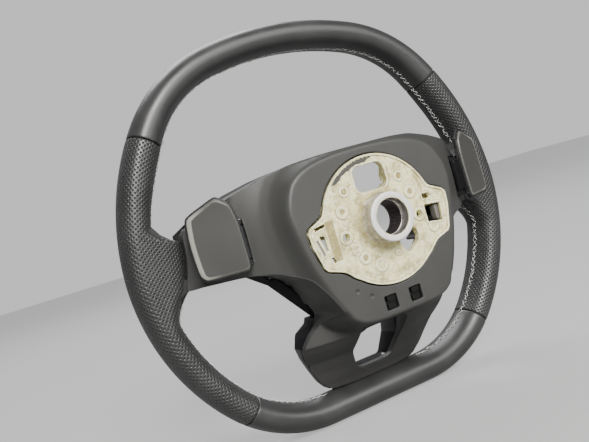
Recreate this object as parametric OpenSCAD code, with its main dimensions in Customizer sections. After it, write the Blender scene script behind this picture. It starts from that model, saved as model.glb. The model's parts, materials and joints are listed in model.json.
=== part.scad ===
// Flat-bottomed car steering wheel without its airbag.
// Frame: +X is the driver's right, +Y points to the steering column, +Z is up.
// The origin is on the column axis, in the rear end face of the cast boss.
// Inside the modules, y is counted from the rear face of the hub plate.

/* [Rim] */
// Height of the rim's outer edge above the column axis
rim_top = 182; // [178:0.5:188]
// Radius of the arc over the top
top_radius = 277; // [250:1:300]
// Radius of the upper shoulders
shoulder_radius = 125; // [118:1:132]
// Radius of the sides
side_radius = 213; // [200:1:225]
// Radius of the hips below the side spokes
hip_radius = 182; // [172:1:192]
// Radius of the lower corners
corner_radius = 111; // [104:1:118]
// Sweep of half the top arc, in degrees
top_sweep = 14.8; // [13:0.1:17]
// Sweep of a shoulder arc
shoulder_sweep = 40.2; // [38:0.1:42]
// Sweep of a side arc
side_sweep = 31.6; // [30:0.1:33]
// Sweep of a hip arc
hip_sweep = 46; // [44:0.1:48]
// Radial thickness of the covered rim
rim_thick = 24.6; // [22:0.2:28]
// Depth of the covered rim, front to back
rim_depth = 37; // [33:0.5:40]
// Distance from the rear face of the hub plate to the middle of the rim
rim_dish = 86; // [82:0.5:90]
// Extra thickness of the thumb rests
thumb_bulge = 2.6; // [0:0.1:4]
// Angle of the thumb rests from twelve o'clock
thumb_angle = 57; // [52:1:62]
// Radius of the cast core inside the rim
core_r = 5; // [4:0.25:6]
// Thickness of the leather
leather = 1.4; // [1:0.1:2]
// Gap between the leather and the foam
foam_gap = 0.3; // [0.2:0.05:0.5]
// Angle of the upper seams from twelve o'clock
seam_top = 51.8; // [48:0.2:55]
// Angle of the lower seams from twelve o'clock
seam_low = 135.5; // [130:0.5:140]
// Width of the groove at a seam, in degrees
seam_groove = 0.22; // [0.1:0.02:0.4]

/* [Hub casting] */
// Radius of the plate that shows in the rear cover
plate_r = 49.7; // [48:0.1:51]
// Thickness of the plate
plate_t = 5; // [4:0.25:6]
// Height of the raised wall round the plate
wall_h = 0.8; // [0.4:0.1:1.5]
// Thickness of the raised wall
wall_t = 1.5; // [1.2:0.1:2.5]
// Depth of the skirt that runs forward from the plate's edge
skirt_d = 12; // [8:0.5:16]
// Outer radius of the boss
boss_r = 18.5; // [17.5:0.1:19.5]
// Height of the boss above the plate
boss_h = 16.5; // [14:0.5:18]
// Radius of the foot of the boss
boss_foot_r = 25; // [23:0.5:26]
// Radius of the smooth entry bore
entry_r = 13.9; // [13.5:0.05:14.3]
// Length of the smooth entry bore
entry_len = 9.5; // [8:0.25:11]
// Outer radius of the steel insert
insert_r = 16; // [15.4:0.1:16.4]
// Length of the steel insert
insert_len = 16.5; // [14:0.5:18]
// Radius to the tips of the serrations
serration_r = 12.6; // [12:0.1:13]
// Depth of the serrations
serration_d = 0.6; // [0.4:0.05:0.8]
// Number of serrations
serrations = 48; // [36:1:60]
// Reach of the ears from the axis
ear_reach = 63.5; // [61:0.5:64]
// Width of the upper window
window_w = 28; // [24:0.5:30]
// Height of the upper window
window_h = 20; // [17:0.5:21]
// Height of the middle of the upper window above the axis
window_z = 32.6; // [32:0.2:34]
// Corner radius of the upper window
window_corner = 6; // [3:0.5:7]
// Radius of the two puller holes
puller_r = 2.3; // [1.8:0.1:2.8]
// Distance of the puller holes from the middle
puller_x = 31; // [30:0.2:32]
// Height of the puller holes above the axis
puller_z = 13.1; // [12:0.1:14]
// Distance of the two holes beside the boss from the middle
side_hole_x = 33.7; // [33:0.1:34.5]
// Thickness of the cast arms
arm_t = 6; // [5:0.25:7]
// Width of a side arm
side_arm_w = 24; // [20:0.5:27]
// Width of a lower arm
low_arm_w = 10; // [8:0.5:11]
// Distance of the lower arms' inner sides from the middle
low_arm_x = 28.5; // [28.2:0.1:29.5]

/* [Rear cover] */
// Height of the cover's upper edge
cover_top = 59; // [57:0.5:61]
// Half width of the raised plateau
plateau_half = 71.5; // [70:0.5:73]
// Depth of the plateau's lower edge below the axis
plateau_low = 72.5; // [71:0.5:74]
// Distance of the plateau behind the plate's face
plateau_step = 0.5; // [0.3:0.1:1]
// Gap between the plate and the cover
plate_gap = 0.7; // [0.5:0.1:1]
// Distance of the spoke ends from the middle
spoke_end = 131; // [129:0.5:133]
// Height of a spoke's upper edge at its end
spoke_top = 32; // [30:0.5:34]
// Height of a spoke's lower edge at its end
spoke_low = -12.5; // [-14:0.5:-11]
// Depth of a spoke at its end, from the middle of the rim
spoke_depth = 17; // [16:0.5:18]
// Half width of the lower spoke at its widest
leg_half = 69.5; // [68:0.5:71]
// Gap between the lower spoke's end and the leather
leg_gap = 0.5; // [0.3:0.1:2]
// Wall of the rear cover
cover_wall = 2.4; // [2:0.1:3]
// Width of the lower opening at its upper edge
opening_top_w = 46; // [42:0.5:48]
// Width of the lower opening at its middle
opening_mid_w = 49; // [46:0.5:52]
// Width of the lower opening at its lower edge
opening_low_w = 34; // [30:0.5:38]
// Distance of the lower opening's upper edge below the plateau
opening_drop = 9.5; // [8:0.5:12]
// Height of the bar under the lower opening
opening_bar = 11.6; // [10:0.2:13]
// Side of the two square clip windows
clip_window = 11; // [9:0.5:12]
// Distance of the clip windows from the middle
clip_x = 11.3; // [10:0.1:13]
// Height of the clip windows
clip_z = -62.2; // [-63:0.1:-61]
// Radius of the two dimples
dimple_r = 2; // [1.5:0.1:2.5]
// Radius of the pin marks
pin_mark_r = 0.5; // [0.4:0.05:0.7]

/* [Front trim] */
// Distance of the front face from the middle of the rim
front_depth = 15; // [13:0.5:17]
// Wall of the front mouldings
trim_wall = 2.2; // [1.8:0.1:2.8]
// Gap along the joint between front and rear mouldings
split_gap = 0.4; // [0.3:0.05:0.8]
// Half width of the airbag opening
bag_half = 80; // [77:0.5:81]
// Height of the airbag opening's upper edge
bag_top = 53; // [50:0.5:54]
// Height of the airbag opening's lower edge
bag_low = -58; // [-60:0.5:-56]
// Depth of the wall round the airbag opening
bag_wall_d = 16; // [12:0.5:20]

/* [Switches] */
// Land between a switch block and the airbag opening
switch_land = 3.5; // [3:0.1:4]
// Height of a switch block above the middle of the spoke's end
switch_rise = 6.2; // [6:0.1:6.6]
// Width of a switch block
switch_w = 42; // [41.5:0.1:43]
// Height of a switch block
switch_h = 38; // [37.8:0.1:38.4]
// Depth of a switch block
switch_d = 11; // [10:0.5:13]
// Width of a key cap
key_w = 10; // [8:0.25:10.5]
// Height of a key cap
key_h = 8.4; // [7:0.2:8.6]
// Distance of the side keys from the middle key
key_pitch = 13; // [12.8:0.1:13.2]
// Distance of the upper and lower keys from the middle key
key_rise = 12; // [11.9:0.1:12.2]
// Radius of the middle key
key_r = 6; // [5:0.25:6.25]
// Travel of a key
key_travel = 0.8; // [0.4:0.1:1]
// Gap round a key
key_gap = 0.3; // [0.2:0.05:0.5]

/* [Paddles] */
// Width of a paddle across its face
paddle_w = 37.5; // [35:0.5:39]
// Height of a paddle's outer shoulder above its lower edge
paddle_side_h = 47.5; // [44:0.5:49]
// Height of the peak above the paddle's lower edge
paddle_peak_h = 56.5; // [54:0.5:58]
// Height of a paddle's lower edge
paddle_low = -7.3; // [-9:0.1:-6]
// Thickness of a paddle plate
paddle_t = 2.4; // [1.8:0.1:3]
// Width of the bevel along the outer side
paddle_bevel = 3.2; // [2:0.1:4]
// Distance of the paddle's inner side from the middle
paddle_x = 104.5; // [103:0.5:106]
// Distance of the paddle face from the middle of the rim, at its inner side
paddle_depth = 67.4; // [66:0.2:69]
// Tilt of the paddle toward the rim
paddle_tilt = 28.7; // [27:0.1:30]
// Thickness of the black lever behind the plate
lever_t = 2.6; // [2:0.1:3]
// Radius of the hinge pin
hinge_r = 1.5; // [1.2:0.1:1.8]
// Radial clearance of the hinge pin in the lever
hinge_clear = 0.05; // [0.02:0.01:0.1]
// Length of the lever's hinge barrel
hinge_len = 26; // [24:0.5:28]
// Swing of a paddle, in degrees
paddle_swing = 4; // [2:0.5:5]
// Wire radius of the return spring
spring_wire = 0.45; // [0.35:0.05:0.6]
// Mean radius of the return spring
spring_r = 2.4; // [2:0.1:2.8]

/* [Hidden] */
$fn = 64;
rim_y = -rim_dish;
half_t = rim_thick / 2;
half_d = rim_depth / 2;
corner_sweep = 180 - top_sweep - shoulder_sweep - side_sweep - hip_sweep;
arc_r = [top_radius, shoulder_radius, side_radius, hip_radius, corner_radius];
arc_a = [top_sweep, shoulder_sweep, side_sweep, hip_sweep, corner_sweep];
front_y = rim_y - front_depth;
plateau_y = -plateau_step;
leather_end = spoke_end + 0.8;
switch_x = bag_half + switch_land + switch_w / 2;
section_points = 16;
grip_stations = 28;
top_stations = 14;
bottom_stations = 10;

// Helpers

function sum_to(list, n) = n <= 0 ? 0 : list[n - 1] + sum_to(list, n - 1);
function flat(lists) = [for (part = lists) for (item = part) item];
function turned(list) = [for (i = [len(list) - 1 : -1 : 0]) list[i]];
function unit(v) = v / norm(v);
function bell(x) = exp(-x * x);
function ease(x) = x <= 0 ? 0 : x >= 1 ? 1 : x * x * (3 - 2 * x);
function power(x, e) = sign(x) * pow(abs(x), e);

// A closed band through a list of equally long loops, joined end to end both ways
module band(loops, inward = false) {
    rows = len(loops);
    n = len(loops[0]);
    quads = [
        for (i = [0 : rows - 1]) for (j = [0 : n - 1])
            [i * n + j, i * n + (j + 1) % n, ((i + 1) % rows) * n + (j + 1) % n, ((i + 1) % rows) * n + j]
    ];
    triangles = flat([for (q = quads) [[q[0], q[1], q[2]], [q[0], q[2], q[3]]]]);
    polyhedron(flat(loops), inward ? [for (t = triangles) turned(t)] : triangles);
}

// Extrudes an XZ outline forward from the plane y
module forward(y, depth) {
    translate([0, y, 0])
        rotate([90, 0, 0])
            linear_extrude(depth)
                children();
}

// Moves what is measured from the plate's rear face to the boss's end face
module hub_frame() {
    translate([0, -boss_h, 0]) children();
}

module rounded_square(w, h, r) {
    hull()
        for (x = [-1, 1], z = [-1, 1])
            translate([x * (w / 2 - r), z * (h / 2 - r)])
                circle(r, $fn = 24);
}

module mirrored(side) {
    if (side > 0) children();
    else mirror([1, 0, 0]) children();
}

// Rim: tangent arcs from twelve o'clock down to the flat bottom

function arc_turn(i) = sum_to(arc_a, i);
function arc_centre(i) = arc_start(i) - arc_r[i] * [sin(arc_turn(i)), cos(arc_turn(i))];
function arc_start(i) = i == 0 ? [0, rim_top] : arc_finish(i - 1);
function arc_finish(i) = arc_centre(i) + arc_r[i] * [sin(arc_turn(i + 1)), cos(arc_turn(i + 1))];
arc_centres = [for (i = [0 : 4]) arc_centre(i)];
flat_z = arc_centres[4][1] - arc_r[4] + half_t;
leg_end = -flat_z - half_t - leg_gap;
arc_limits = [
    for (i = [0 : 4])
        let (p = arc_centres[i] + (arc_r[i] - half_t) * [sin(arc_turn(i + 1)), cos(arc_turn(i + 1))])
            atan2(p[0], p[1])
];

function arc_at(a) = a < arc_limits[0] ? 0 : a < arc_limits[1] ? 1 : a < arc_limits[2] ? 2
    : a < arc_limits[3] ? 3 : a < arc_limits[4] ? 4 : 5;

// Depth below the axis of a point that lies the share t down the lower spoke
function leg(t) = plateau_low + t * (leg_end - plateau_low);

// Centre point and outward direction of the rim at the angle a from twelve o'clock
function rim_half(a) =
    let (i = arc_at(a), ray = [sin(a), cos(a)])
        i == 5 ? [ray * flat_z / cos(a), [0, -1]]
        : let (c = arc_centres[i], b = ray * c, r = arc_r[i] - half_t)
            let (p = ray * (b + sqrt(b * b - c * c + r * r)))
                [p, (p - c) / r];
function rim_at(a) =
    let (w = a < 0 ? a + 360 : a, h = rim_half(w > 180 ? 360 - w : w), s = w > 180 ? -1 : 1)
        [[s * h[0][0], h[0][1]], [s * h[1][0], h[1][1]]];

// Thumb rests swell the inner side of the rim
function inner_t(a) = half_t + thumb_bulge * bell((abs(a) - thumb_angle) / 13);

// How far the grip has turned into the spoke root, from 0 to 1, at the height z
function root_share(z) = ease((z - spoke_low + 13) / 13) * ease((spoke_top + 13 - z) / 13);

// One cross-section of the rim, shrunk by inset, with the spoke root drawn inward
function rim_section(a, inset, with_root) =
    let (w = a > 180 ? a - 360 : a, place = rim_at(a), p = place[0], n = place[1])
        let (share = with_root ? root_share(p[1]) : 0)
            let (reach = p[0] * sign(p[0]) - leather_end - inset)
                [for (k = [0 : section_points - 1])
                    let (f = 360 * k / section_points, c = cos(f), s = sin(f))
                        let (e = c > 0 ? 0.9 : 0.9 - 0.55 * share)
                            let (inner = inner_t(w) - inset + share * max(0, reach - inner_t(w) + inset))
                                let (x = power(c, e) * (c > 0 ? half_t - inset : inner))
                                    let (d = c > 0 ? half_d - inset : half_d - inset - share * (half_d - spoke_depth))
                                        let (q = p + n * x, y = power(s, e) * d)
                                            [share > 0.5 ? sign(q[0]) * max(abs(q[0]), leather_end + inset) : q[0],
                                                rim_y + y, q[1]]];

function span(from, to, n) = [for (i = [0 : n - 1]) from + (to - from) * i / (n - 1)];

module leather_panel(from, to, n, with_root = false) {
    angles = span(from, to, n);
    outer = [for (a = angles) rim_section(a, 0, with_root)];
    inner = [for (a = angles) rim_section(a, leather, with_root)];
    band(concat(outer, turned(inner)));
}

// Passage of the cast arm through the end of the spoke root
module root_passage(side) {
    gap = 0.6;
    mirrored(side)
        translate([spoke_end - 2, rim_y - 8, side_arm_z - side_arm_w / 2 - gap])
            cube([core_x - spoke_end + 2, 22, side_arm_w + 2 * gap]);
}

module rim_foam() {
    color([0.13, 0.13, 0.14]) hub_frame()
        difference() {
            // Taken backward, so that its facets lie as those of the leather's inner side
            band([for (a = turned(foam_angles)) rim_section(a, leather + foam_gap, abs(sin(a)) > 0.6)], true);
            band([for (a = core_angles) foam_bore(a)]);
            for (side = [-1, 1]) root_passage(side);
            low_arms(0.3);
        }
}
foam_angles = concat(
    span(-seam_top, seam_top, top_stations),
    [for (i = [1 : grip_stations - 1]) seam_top + (seam_low - seam_top) * i / (grip_stations - 1)],
    [for (i = [1 : bottom_stations - 1]) seam_low + (360 - 2 * seam_low) * i / (bottom_stations - 1)],
    [for (i = [1 : grip_stations - 2]) 360 - seam_low + (seam_low - seam_top) * i / (grip_stations - 1)]
);
core_angles = [0 : 6 : 354];
function core_corner(a, r) =
    let (place = rim_at(a))
        place[0] + place[1] * r;
function foam_bore(a) =
    [for (k = [[1, 1], [-1, 1], [-1, -1], [1, -1]])
        let (q = core_corner(a, k[0] * core_r))
            [q[0], rim_y + k[1] * core_r, q[1]]];

module leather_top() {
    color([0.16, 0.16, 0.16]) hub_frame()
        leather_panel(-seam_top + seam_groove, seam_top - seam_groove, top_stations);
}

module leather_bottom() {
    color([0.16, 0.16, 0.16]) hub_frame()
        difference() {
            leather_panel(seam_low + seam_groove, 360 - seam_low - seam_groove, bottom_stations);
            low_arms(0.6);
        }
}

module leather_grip(side) {
    color([0.13, 0.13, 0.13]) hub_frame()
        difference() {
            if (side > 0) leather_panel(seam_top, seam_low, grip_stations, true);
            else leather_panel(360 - seam_low, 360 - seam_top, grip_stations, true);
            root_passage(side);
        }
}

// Hub casting

side_arm_z = (spoke_top + spoke_low) / 2;
core_x = rim_at(85)[0][0];

module ear_outline() {
    polygon([
        [38, 20], [47, 14.5], [ear_reach - 3, 8.5], [ear_reach - 0.5, 5], [ear_reach - 1.2, -5],
        [57.8, -22], [55.5, -25], [42, -29.4], [32, -38], [18, -30]
    ]);
}

module plate_outline() {
    circle(plate_r, $fn = 96);
    ear_outline();
    mirror([1, 0]) ear_outline();
}

// A slanted slot between two points
module slot(a, b, w) {
    d = b - a;
    translate(a)
        rotate(atan2(d[1], d[0]))
            translate([0, -w / 2])
                square([norm(d), w]);
}

module plate_cuts() {
    translate([0, window_z]) rounded_square(window_w, window_h, window_corner);
    // Slots of the ear on the driver's right
    slot([47.9, 8], [57, 6.5], 2.5);
    polygon([[50.6, 0.6], [54.9, 1.2], [52.2, -10.4], [50.3, -11]]);
    slot([57.6, -1], [54.5, -13.6], 2.2);
    slot([49.3, -16.2], [47.4, -20.6], 2.4);
    // Windows of the other ear
    polygon([[-40.2, -0.2], [-55, -1.6], [-53.4, -15.6], [-40.2, -13.8]]);
    polygon([[-40.8, 8.7], [-47, 7.9], [-46.3, 4.1], [-40.8, 4.6]]);
    // Through holes beside the boss
    for (x = [-side_hole_x, side_hole_x]) translate([x, -5.7]) circle(3, $fn = 24);
    for (x = [-puller_x, puller_x]) translate([x, puller_z]) circle(puller_r, $fn = 24);
    translate([22.8, -24.4]) circle(2.4, $fn = 24);
    // Curved slot under the boss
    difference() {
        polygon([
            [-9, -18], [-11, -24], [-13.4, -29.6], [-15.6, -30.8], [-18.6, -30.4], [-23, -27.6], [-27.2, -24],
            [-28.6, -20.4], [-27.4, -15.9], [-25, -13.2], [-17, -10]
        ]);
        circle(21);
    }
}

module boss_body() {
    fillet = boss_foot_r - boss_r;
    rotate([90, 0, 0])
        rotate_extrude($fn = 96)
            difference() {
                polygon([
                    [entry_r - 2, -boss_h], [boss_r - 0.6, -boss_h], [boss_r, -boss_h + 0.6], [boss_r, -fillet],
                    [boss_foot_r, 0], [boss_foot_r, plate_t], [boss_r + 2, plate_t + 5],
                    [entry_r - 2, plate_t + 5]
                ]);
                translate([boss_foot_r, -fillet]) circle(fillet, $fn = 48);
            }
}

module boss_bores() {
    entry_end = boss_h - entry_len;
    translate([0, boss_h + 1, 0]) rotate([90, 0, 0]) cylinder(r = entry_r, h = entry_len + 1, $fn = 96);
    translate([0, entry_end + 1, 0]) rotate([90, 0, 0]) cylinder(r = serration_r + serration_d, h = 60, $fn = 96);
    translate([0, entry_end, 0]) rotate([90, 0, 0]) cylinder(r = insert_r, h = 60, $fn = 96);
}

// Middle line of a side arm, as distance from the middle and depth
side_arm_path = [
    [44, -plate_t - 3], [60, -14], [70, -30], [80, -46], [98, -54], [116, -64],
    [spoke_end + 2, rim_y + 3], [core_x - core_r - 3, rim_y], [core_x, rim_y]
];
// Middle line of a lower arm, as height and depth
low_arm_path = [
    [-36, -plate_t - 3], [-58, -14], [-70, -34], [-leg(0.17), -56], [-leg(0.47), -74],
    [-leg(0.74), rim_y - 2], [-leg(0.94), rim_y - 3], [flat_z, rim_y - 1]
];

// A bent strip of even thickness along a path
module strip(path, t) {
    last = len(path) - 1;
    normals = [
        for (i = [0 : last])
            let (d = unit(path[min(i + 1, last)] - path[max(i - 1, 0)]))
                [-d[1], d[0]]
    ];
    polygon(concat(
        [for (i = [0 : last]) path[i] + normals[i] * t / 2],
        [for (i = [last : -1 : 0]) path[i] - normals[i] * t / 2]
    ));
}

module side_arm(side) {
    mirrored(side)
        difference() {
            translate([0, 0, side_arm_z - side_arm_w / 2])
                linear_extrude(side_arm_w)
                    strip(side_arm_path, arm_t);
            translate([107, -30, side_arm_z]) rotate([90, 0, 0]) cylinder(r = 6, h = 50, $fn = 48);
        }
}

module low_arms(grow = 0) {
    for (side = [-1, 1])
        mirrored(side)
            translate([low_arm_x - grow, 0, 0])
                rotate([90, 0, 90])
                    linear_extrude(low_arm_w + 2 * grow)
                        strip([for (p = low_arm_path) [p[1], p[0]]], arm_t + 2 * grow);
}

module rim_core() {
    forward(rim_y + core_r, 2 * core_r)
        difference() {
            polygon([for (a = core_angles) core_corner(a, core_r)]);
            polygon([for (a = core_angles) core_corner(a, -core_r)]);
        }
}

module plate_ribs() {
    for (a = [20, 60, 120, 160, 200, 245, 295, 340])
        rotate([0, a, 0])
            translate([boss_r, -plate_t - 4, -1])
                cube([plate_r - boss_r - 0.5, 4.5, 2]);
}

module armature() {
    color([0.88, 0.85, 0.74]) hub_frame() {
        difference() {
            union() {
                forward(0, plate_t) plate_outline();
                forward(wall_h, skirt_d)
                    difference() {
                        plate_outline();
                        offset(-wall_t) plate_outline();
                    }
                plate_ribs();
                boss_body();
                pads();
                for (side = [-1, 1]) side_arm(side);
                low_arms();
            }
            forward(1, 12) plate_cuts();
            boss_bores();
            sunken_channel();
            thin_ears();
            for (x = [-25, 25]) translate([x, 1, 27.2]) rotate([90, 0, 0]) cylinder(r = 2.5, h = 4, $fn = 24);
        }
        rim_core();
    }
}

module pads() {
    for (x = [-side_hole_x, side_hole_x]) translate([x, 0, -5.7]) pad(5, 0.6);
    for (x = [-puller_x, puller_x]) translate([x, 0, puller_z]) pad(5, 0.6);
    for (x = [-25, 25]) translate([x, 0, 27.2]) pad(3.8, 0.5);
    translate([22.8, 0, -24.4]) pad(4.6, 0.5);
    translate([11, 0, -33]) pad(5, 0.4);
    translate([-5.6, 0, -28.3]) pad(2, 0.4);
    translate([-44, 0, -18]) pad(4.5, 0.6);
}

module pad(r, h) {
    translate([0, h, 0]) rotate([90, 0, 0]) cylinder(r = r, h = h + 1, $fn = 32);
}

module sunken_channel() {
    translate([40.8, -2, -20]) cube([7, 5, 30]);
}

// Pockets in the front face of both ears, behind their slots
module thin_ears() {
    forward(-1.8, plate_t)
        for (side = [0, 1])
            mirror([side, 0])
                offset(-wall_t)
                    intersection() {
                        ear_outline();
                        translate([44.5, -24]) square([30, 40]);
                    }
}

module splined_insert() {
    root_r = serration_r + serration_d;
    color([0.42, 0.41, 0.4]) hub_frame()
        translate([0, boss_h - entry_len, 0])
            rotate([90, 0, 0])
                linear_extrude(insert_len)
                    difference() {
                        circle(insert_r, $fn = 96);
                        polygon([
                            for (i = [0 : 2 * serrations - 1])
                                (i % 2 == 0 ? root_r : serration_r) * [cos(180 * i / serrations), sin(180 * i / serrations)]
                        ]);
                    }
}

// Outlines of the cover, as right halves from the top to the bottom

function cover_half(end_x) = [
    [0, cover_top], [30, cover_top], [56, cover_top - 1], [80, cover_top - 6], [105, spoke_top + 14],
    [end_x, spoke_top], [end_x, spoke_low], [105, spoke_low], [84, spoke_low - 4.5], [67, -27],
    [57.5, -44], [50.5, -58], [54, -67], [leg_half - 5.5, -leg(0.04)], [leg_half, -leg(0.18)],
    [leg_half - 2.5, -leg(0.34)], [leg_half - 9, -leg(0.56)], [leg_half - 17.5, -leg(0.8)],
    [leg_half - 26.5, -leg_end + 2.2], [leg_half - 49, -leg_end], [0, -leg_end]
];
function trim_half(end_x) = [
    [0, cover_top], [30, cover_top], [56, cover_top - 1], [80, cover_top - 6], [105, spoke_top + 14],
    [end_x, spoke_top], [end_x, spoke_low], [105, spoke_low], [84, spoke_low - 5], [75.5, -28], [48, trim_low],
    [0, trim_low]
];
trim_low = -62;
trim_joint = 0.4;
// The flank under a side spoke, as distance along its normal, at the parting line and at the front
flank_angle = 39.2;
flank = [72, 76.5];
flank_top = -24;
flank_lift = 30;
opening_top_z = -plateau_low - opening_drop;
opening_low_z = -leg_end + opening_bar;
// Fall of the side spokes behind the plateau, against the distance from the middle
side_fall = [
    [-10, 0], [0, 0], [2, 2.5], [5, 9], [9, 15.5], [15, 20.5], [24, 26], [34, 32.5], [44, 43], [52, 55],
    [spoke_end - plateau_half, rim_dish - spoke_depth], [spoke_end - plateau_half + 14, rim_dish - spoke_depth + 5]
];
// Fall of the lower spoke behind the plateau, against the share of its length
low_fall = [
    [-0.2, 0], [0, 0], [0.03, 2.5], [0.09, 19], [0.18, 39], [0.27, 44], [0.39, 53], [0.47, 60], [0.58, 65],
    [0.68, 70], [0.78, 74], [0.9, 79], [1, 82], [1.2, 84]
];
// Fall across the plateau's upper corners, against the distance along the corner's line
upper_corner_fall = [[-20, 0], [0, 0], [2, 2.5], [5, 9], [9, 15.5], [15, 20.5], [24, 26], [34, 32.5], [44, 43], [90, 60]];
upper_corner_reach = plateau_half + 3.8;
upper_corner_angle = 45;
// Fall across the lower corners, which also rounds off the legs
lower_corner_fall = [
    [-20, 0], [0, 0], [1.5, 6], [5, 28], [8, 39], [19.4, 46], [28, 50], [36, 61], [42, 72], [48, 80], [90, 90]
];
lower_corner_reach = plateau_low + 6.7;
lower_corner_angle = -53.1;
// Height of the parting line over the middle of the rim, side spokes and lower spoke
side_split = [[0, 31], [70, 31], [84, 29], [104, 13], [118, 5], [spoke_end, 2], [spoke_end + 20, 2]];
low_split = [
    [-70, 31], [leg(0.05), 31], [leg(0.16), 29], [leg(0.39), 21], [leg(0.61), 11], [leg(0.83), 3], [leg_end, 0],
    [leg_end + 20, 0]
];
// Depth of the lower spoke's front face, down its length and across it
low_front = [[30, 14], [66, 12], [leg(0.16), 2], [leg(0.47), -7], [leg(0.81), -12], [leg_end + 20, -13]];
cross_front = [
    [0, -16], [leg_half - 33, -16], [leg_half - 23, -8], [leg_half - 13, 2], [leg_half - 3, 12], [leg_half + 5, 20],
    [leg_half + 30, 30]
];

function half_and_mirror(half) = concat(half, [for (i = [len(half) - 1 : -1 : 0]) [-half[i][0], half[i][1]]]);

module mirrored_polygon(half) {
    polygon(half_and_mirror(half));
}

// Top view: the plateau with both side spokes, lowered and narrowed by the wall
module side_profile(wall) {
    mirrored_polygon(concat(
        [for (p = side_fall) [plateau_half + p[0] - (p[0] < 20 ? wall : wall / 2), plateau_y - p[1] - wall]],
        [[spoke_end + 20, rim_y - 30], [0, rim_y - 30]]
    ));
}

// Side view: the plateau with the lower spoke
module low_profile(wall) {
    polygon(concat(
        [[plateau_y - wall, cover_top + 5]],
        [for (p = low_fall) [plateau_y - p[1] - wall, -leg(p[0]) + (p[0] < 0.34 ? wall : wall / 2)]],
        [[rim_y - 30, -leg_end - 20], [rim_y - 30, cover_top + 5]]
    ));
}

// Slopes across the corners of the plateau, along a line at an angle to the side spokes
module corner_profile(angle, reach, fall, wall) {
    rotate([0, -angle, 0])
        translate([0, 0, -2 * spoke_end])
            linear_extrude(4 * spoke_end)
                polygon(concat(
                    [[-2 * spoke_end, plateau_y + 1 - wall], [reach - 20 - wall, plateau_y + 1 - wall]],
                    [for (p = fall) [reach + p[0] - wall, plateau_y - p[1] - wall]],
                    [[reach + 90, rim_y - 30], [-2 * spoke_end, rim_y - 30]]
                ));
}

// Everything behind the outer face of the cover, or behind its inner face
module cover_body(wall) {
    intersection() {
        forward(1, rim_dish + 20)
            offset(-wall) mirrored_polygon(cover_half(wall > 0 ? spoke_end + 12 : spoke_end));
        translate([0, 0, -leg_end - 10]) linear_extrude(leg_end + cover_top + 20) side_profile(wall);
        translate([-spoke_end - 30, 0, 0])
            rotate([90, 0, 90])
                linear_extrude(2 * spoke_end + 60)
                    low_profile(wall);
        for_both() corner_profile(upper_corner_angle, upper_corner_reach, upper_corner_fall, wall);
        for_both() corner_profile(lower_corner_angle, lower_corner_reach, lower_corner_fall, wall);
    }
}

// What lies inside a profile and inside its mirror image
module for_both() {
    intersection() {
        children();
        mirror([1, 0, 0]) children();
    }
}

// Everything in front of the parting line, moved forward by gap
module front_region(gap) {
    intersection() {
        translate([0, 0, -leg_end - 10])
            linear_extrude(leg_end + cover_top + 20)
                mirrored_polygon(concat(
                    [for (p = side_split) [p[0], rim_y + p[1] - gap]],
                    [[spoke_end + 20, rim_y - 40], [0, rim_y - 40]]
                ));
        translate([-spoke_end - 30, 0, 0])
            rotate([90, 0, 90])
                linear_extrude(2 * spoke_end + 60)
                    polygon(concat(
                        [for (p = low_split) [rim_y + p[1] - gap, -p[0]]],
                        [[rim_y - 40, -leg_end - 20], [rim_y - 40, 70]]
                    ));
    }
}

module opening_outline() {
    middle_z = (opening_top_z + opening_low_z) / 2;
    offset(4, $fn = 24)
        offset(-4)
            polygon([
                [-opening_top_w / 2, opening_top_z], [opening_top_w / 2, opening_top_z],
                [opening_mid_w / 2, middle_z], [opening_low_w / 2, opening_low_z],
                [-opening_low_w / 2, opening_low_z], [-opening_mid_w / 2, middle_z]
            ]);
}

module rear_cover() {
    marks = [[66, 32], [-66, 32], [65, -10], [-65, -10], [0, 53.7], [0, -68.3]];
    color([0.33, 0.33, 0.33]) hub_frame()
        difference() {
            union() {
                difference() {
                    cover_body(0);
                    cover_body(cover_wall);
                }
                intersection() {
                    cover_body(0);
                    union() {
                        forward(5, 120)
                            difference() {
                                offset(cover_wall) opening_outline();
                                opening_outline();
                            }
                        for (side = [-1, 1])
                            paddle_frame(side)
                                translate([-6, -base_depth - 2, base_low - 2.3])
                                    cube([30, 60, base_high - base_low + 4.6]);
                    }
                }
            }
            front_region(0);
            forward(5, 120) opening_outline();
            forward(5, 30) offset(plate_gap) plate_outline();
            for (x = [-clip_x, clip_x])
                translate([x, 0, clip_z])
                    forward(5, 12) square(clip_window, center = true);
            for (p = [[37, -46], [26.4, -53]])
                translate([p[0], plateau_y + 1, p[1]]) rotate([90, 0, 0]) cylinder(r = dimple_r, h = 2.4, $fn = 24);
            for (p = marks)
                translate([p[0], plateau_y + 1, p[1]]) rotate([90, 0, 0]) cylinder(r = pin_mark_r, h = 1.8, $fn = 16);
            for (side = [-1, 1])
                paddle_frame(side)
                    translate([-4, -base_depth, base_low - 0.3])
                        cube([26, 60, base_high - base_low + 0.6]);
            low_arms(0.6);
        }
}

// Two snap hooks that hold the cover's lower edge to the casting
module cover_clip() {
    top = plateau_y - cover_wall - 0.3;
    color([0.05, 0.05, 0.05]) hub_frame() {
        translate([-20, top - 2, clip_z - 7]) cube([40, 2, -clip_z + 7 - plate_r - 0.6]);
        for (x = [-clip_x, clip_x])
            translate([x, 0, clip_z]) {
                translate([-3.5, top - 0.1, 1.5]) cube([7, -top - 0.4, 1.6]);
                translate([-3.5, -1.7, 1.5]) cube([7, 1, 3.4]);
                translate([-3.5, top - 0.1, -4.4]) cube([7, 1.6, 3.6]);
            }
    }
}

// Front mouldings

module front_outline(wall) {
    offset(-wall) mirrored_polygon(trim_half(wall > 0 ? spoke_end + 12 : spoke_end));
}

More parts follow.
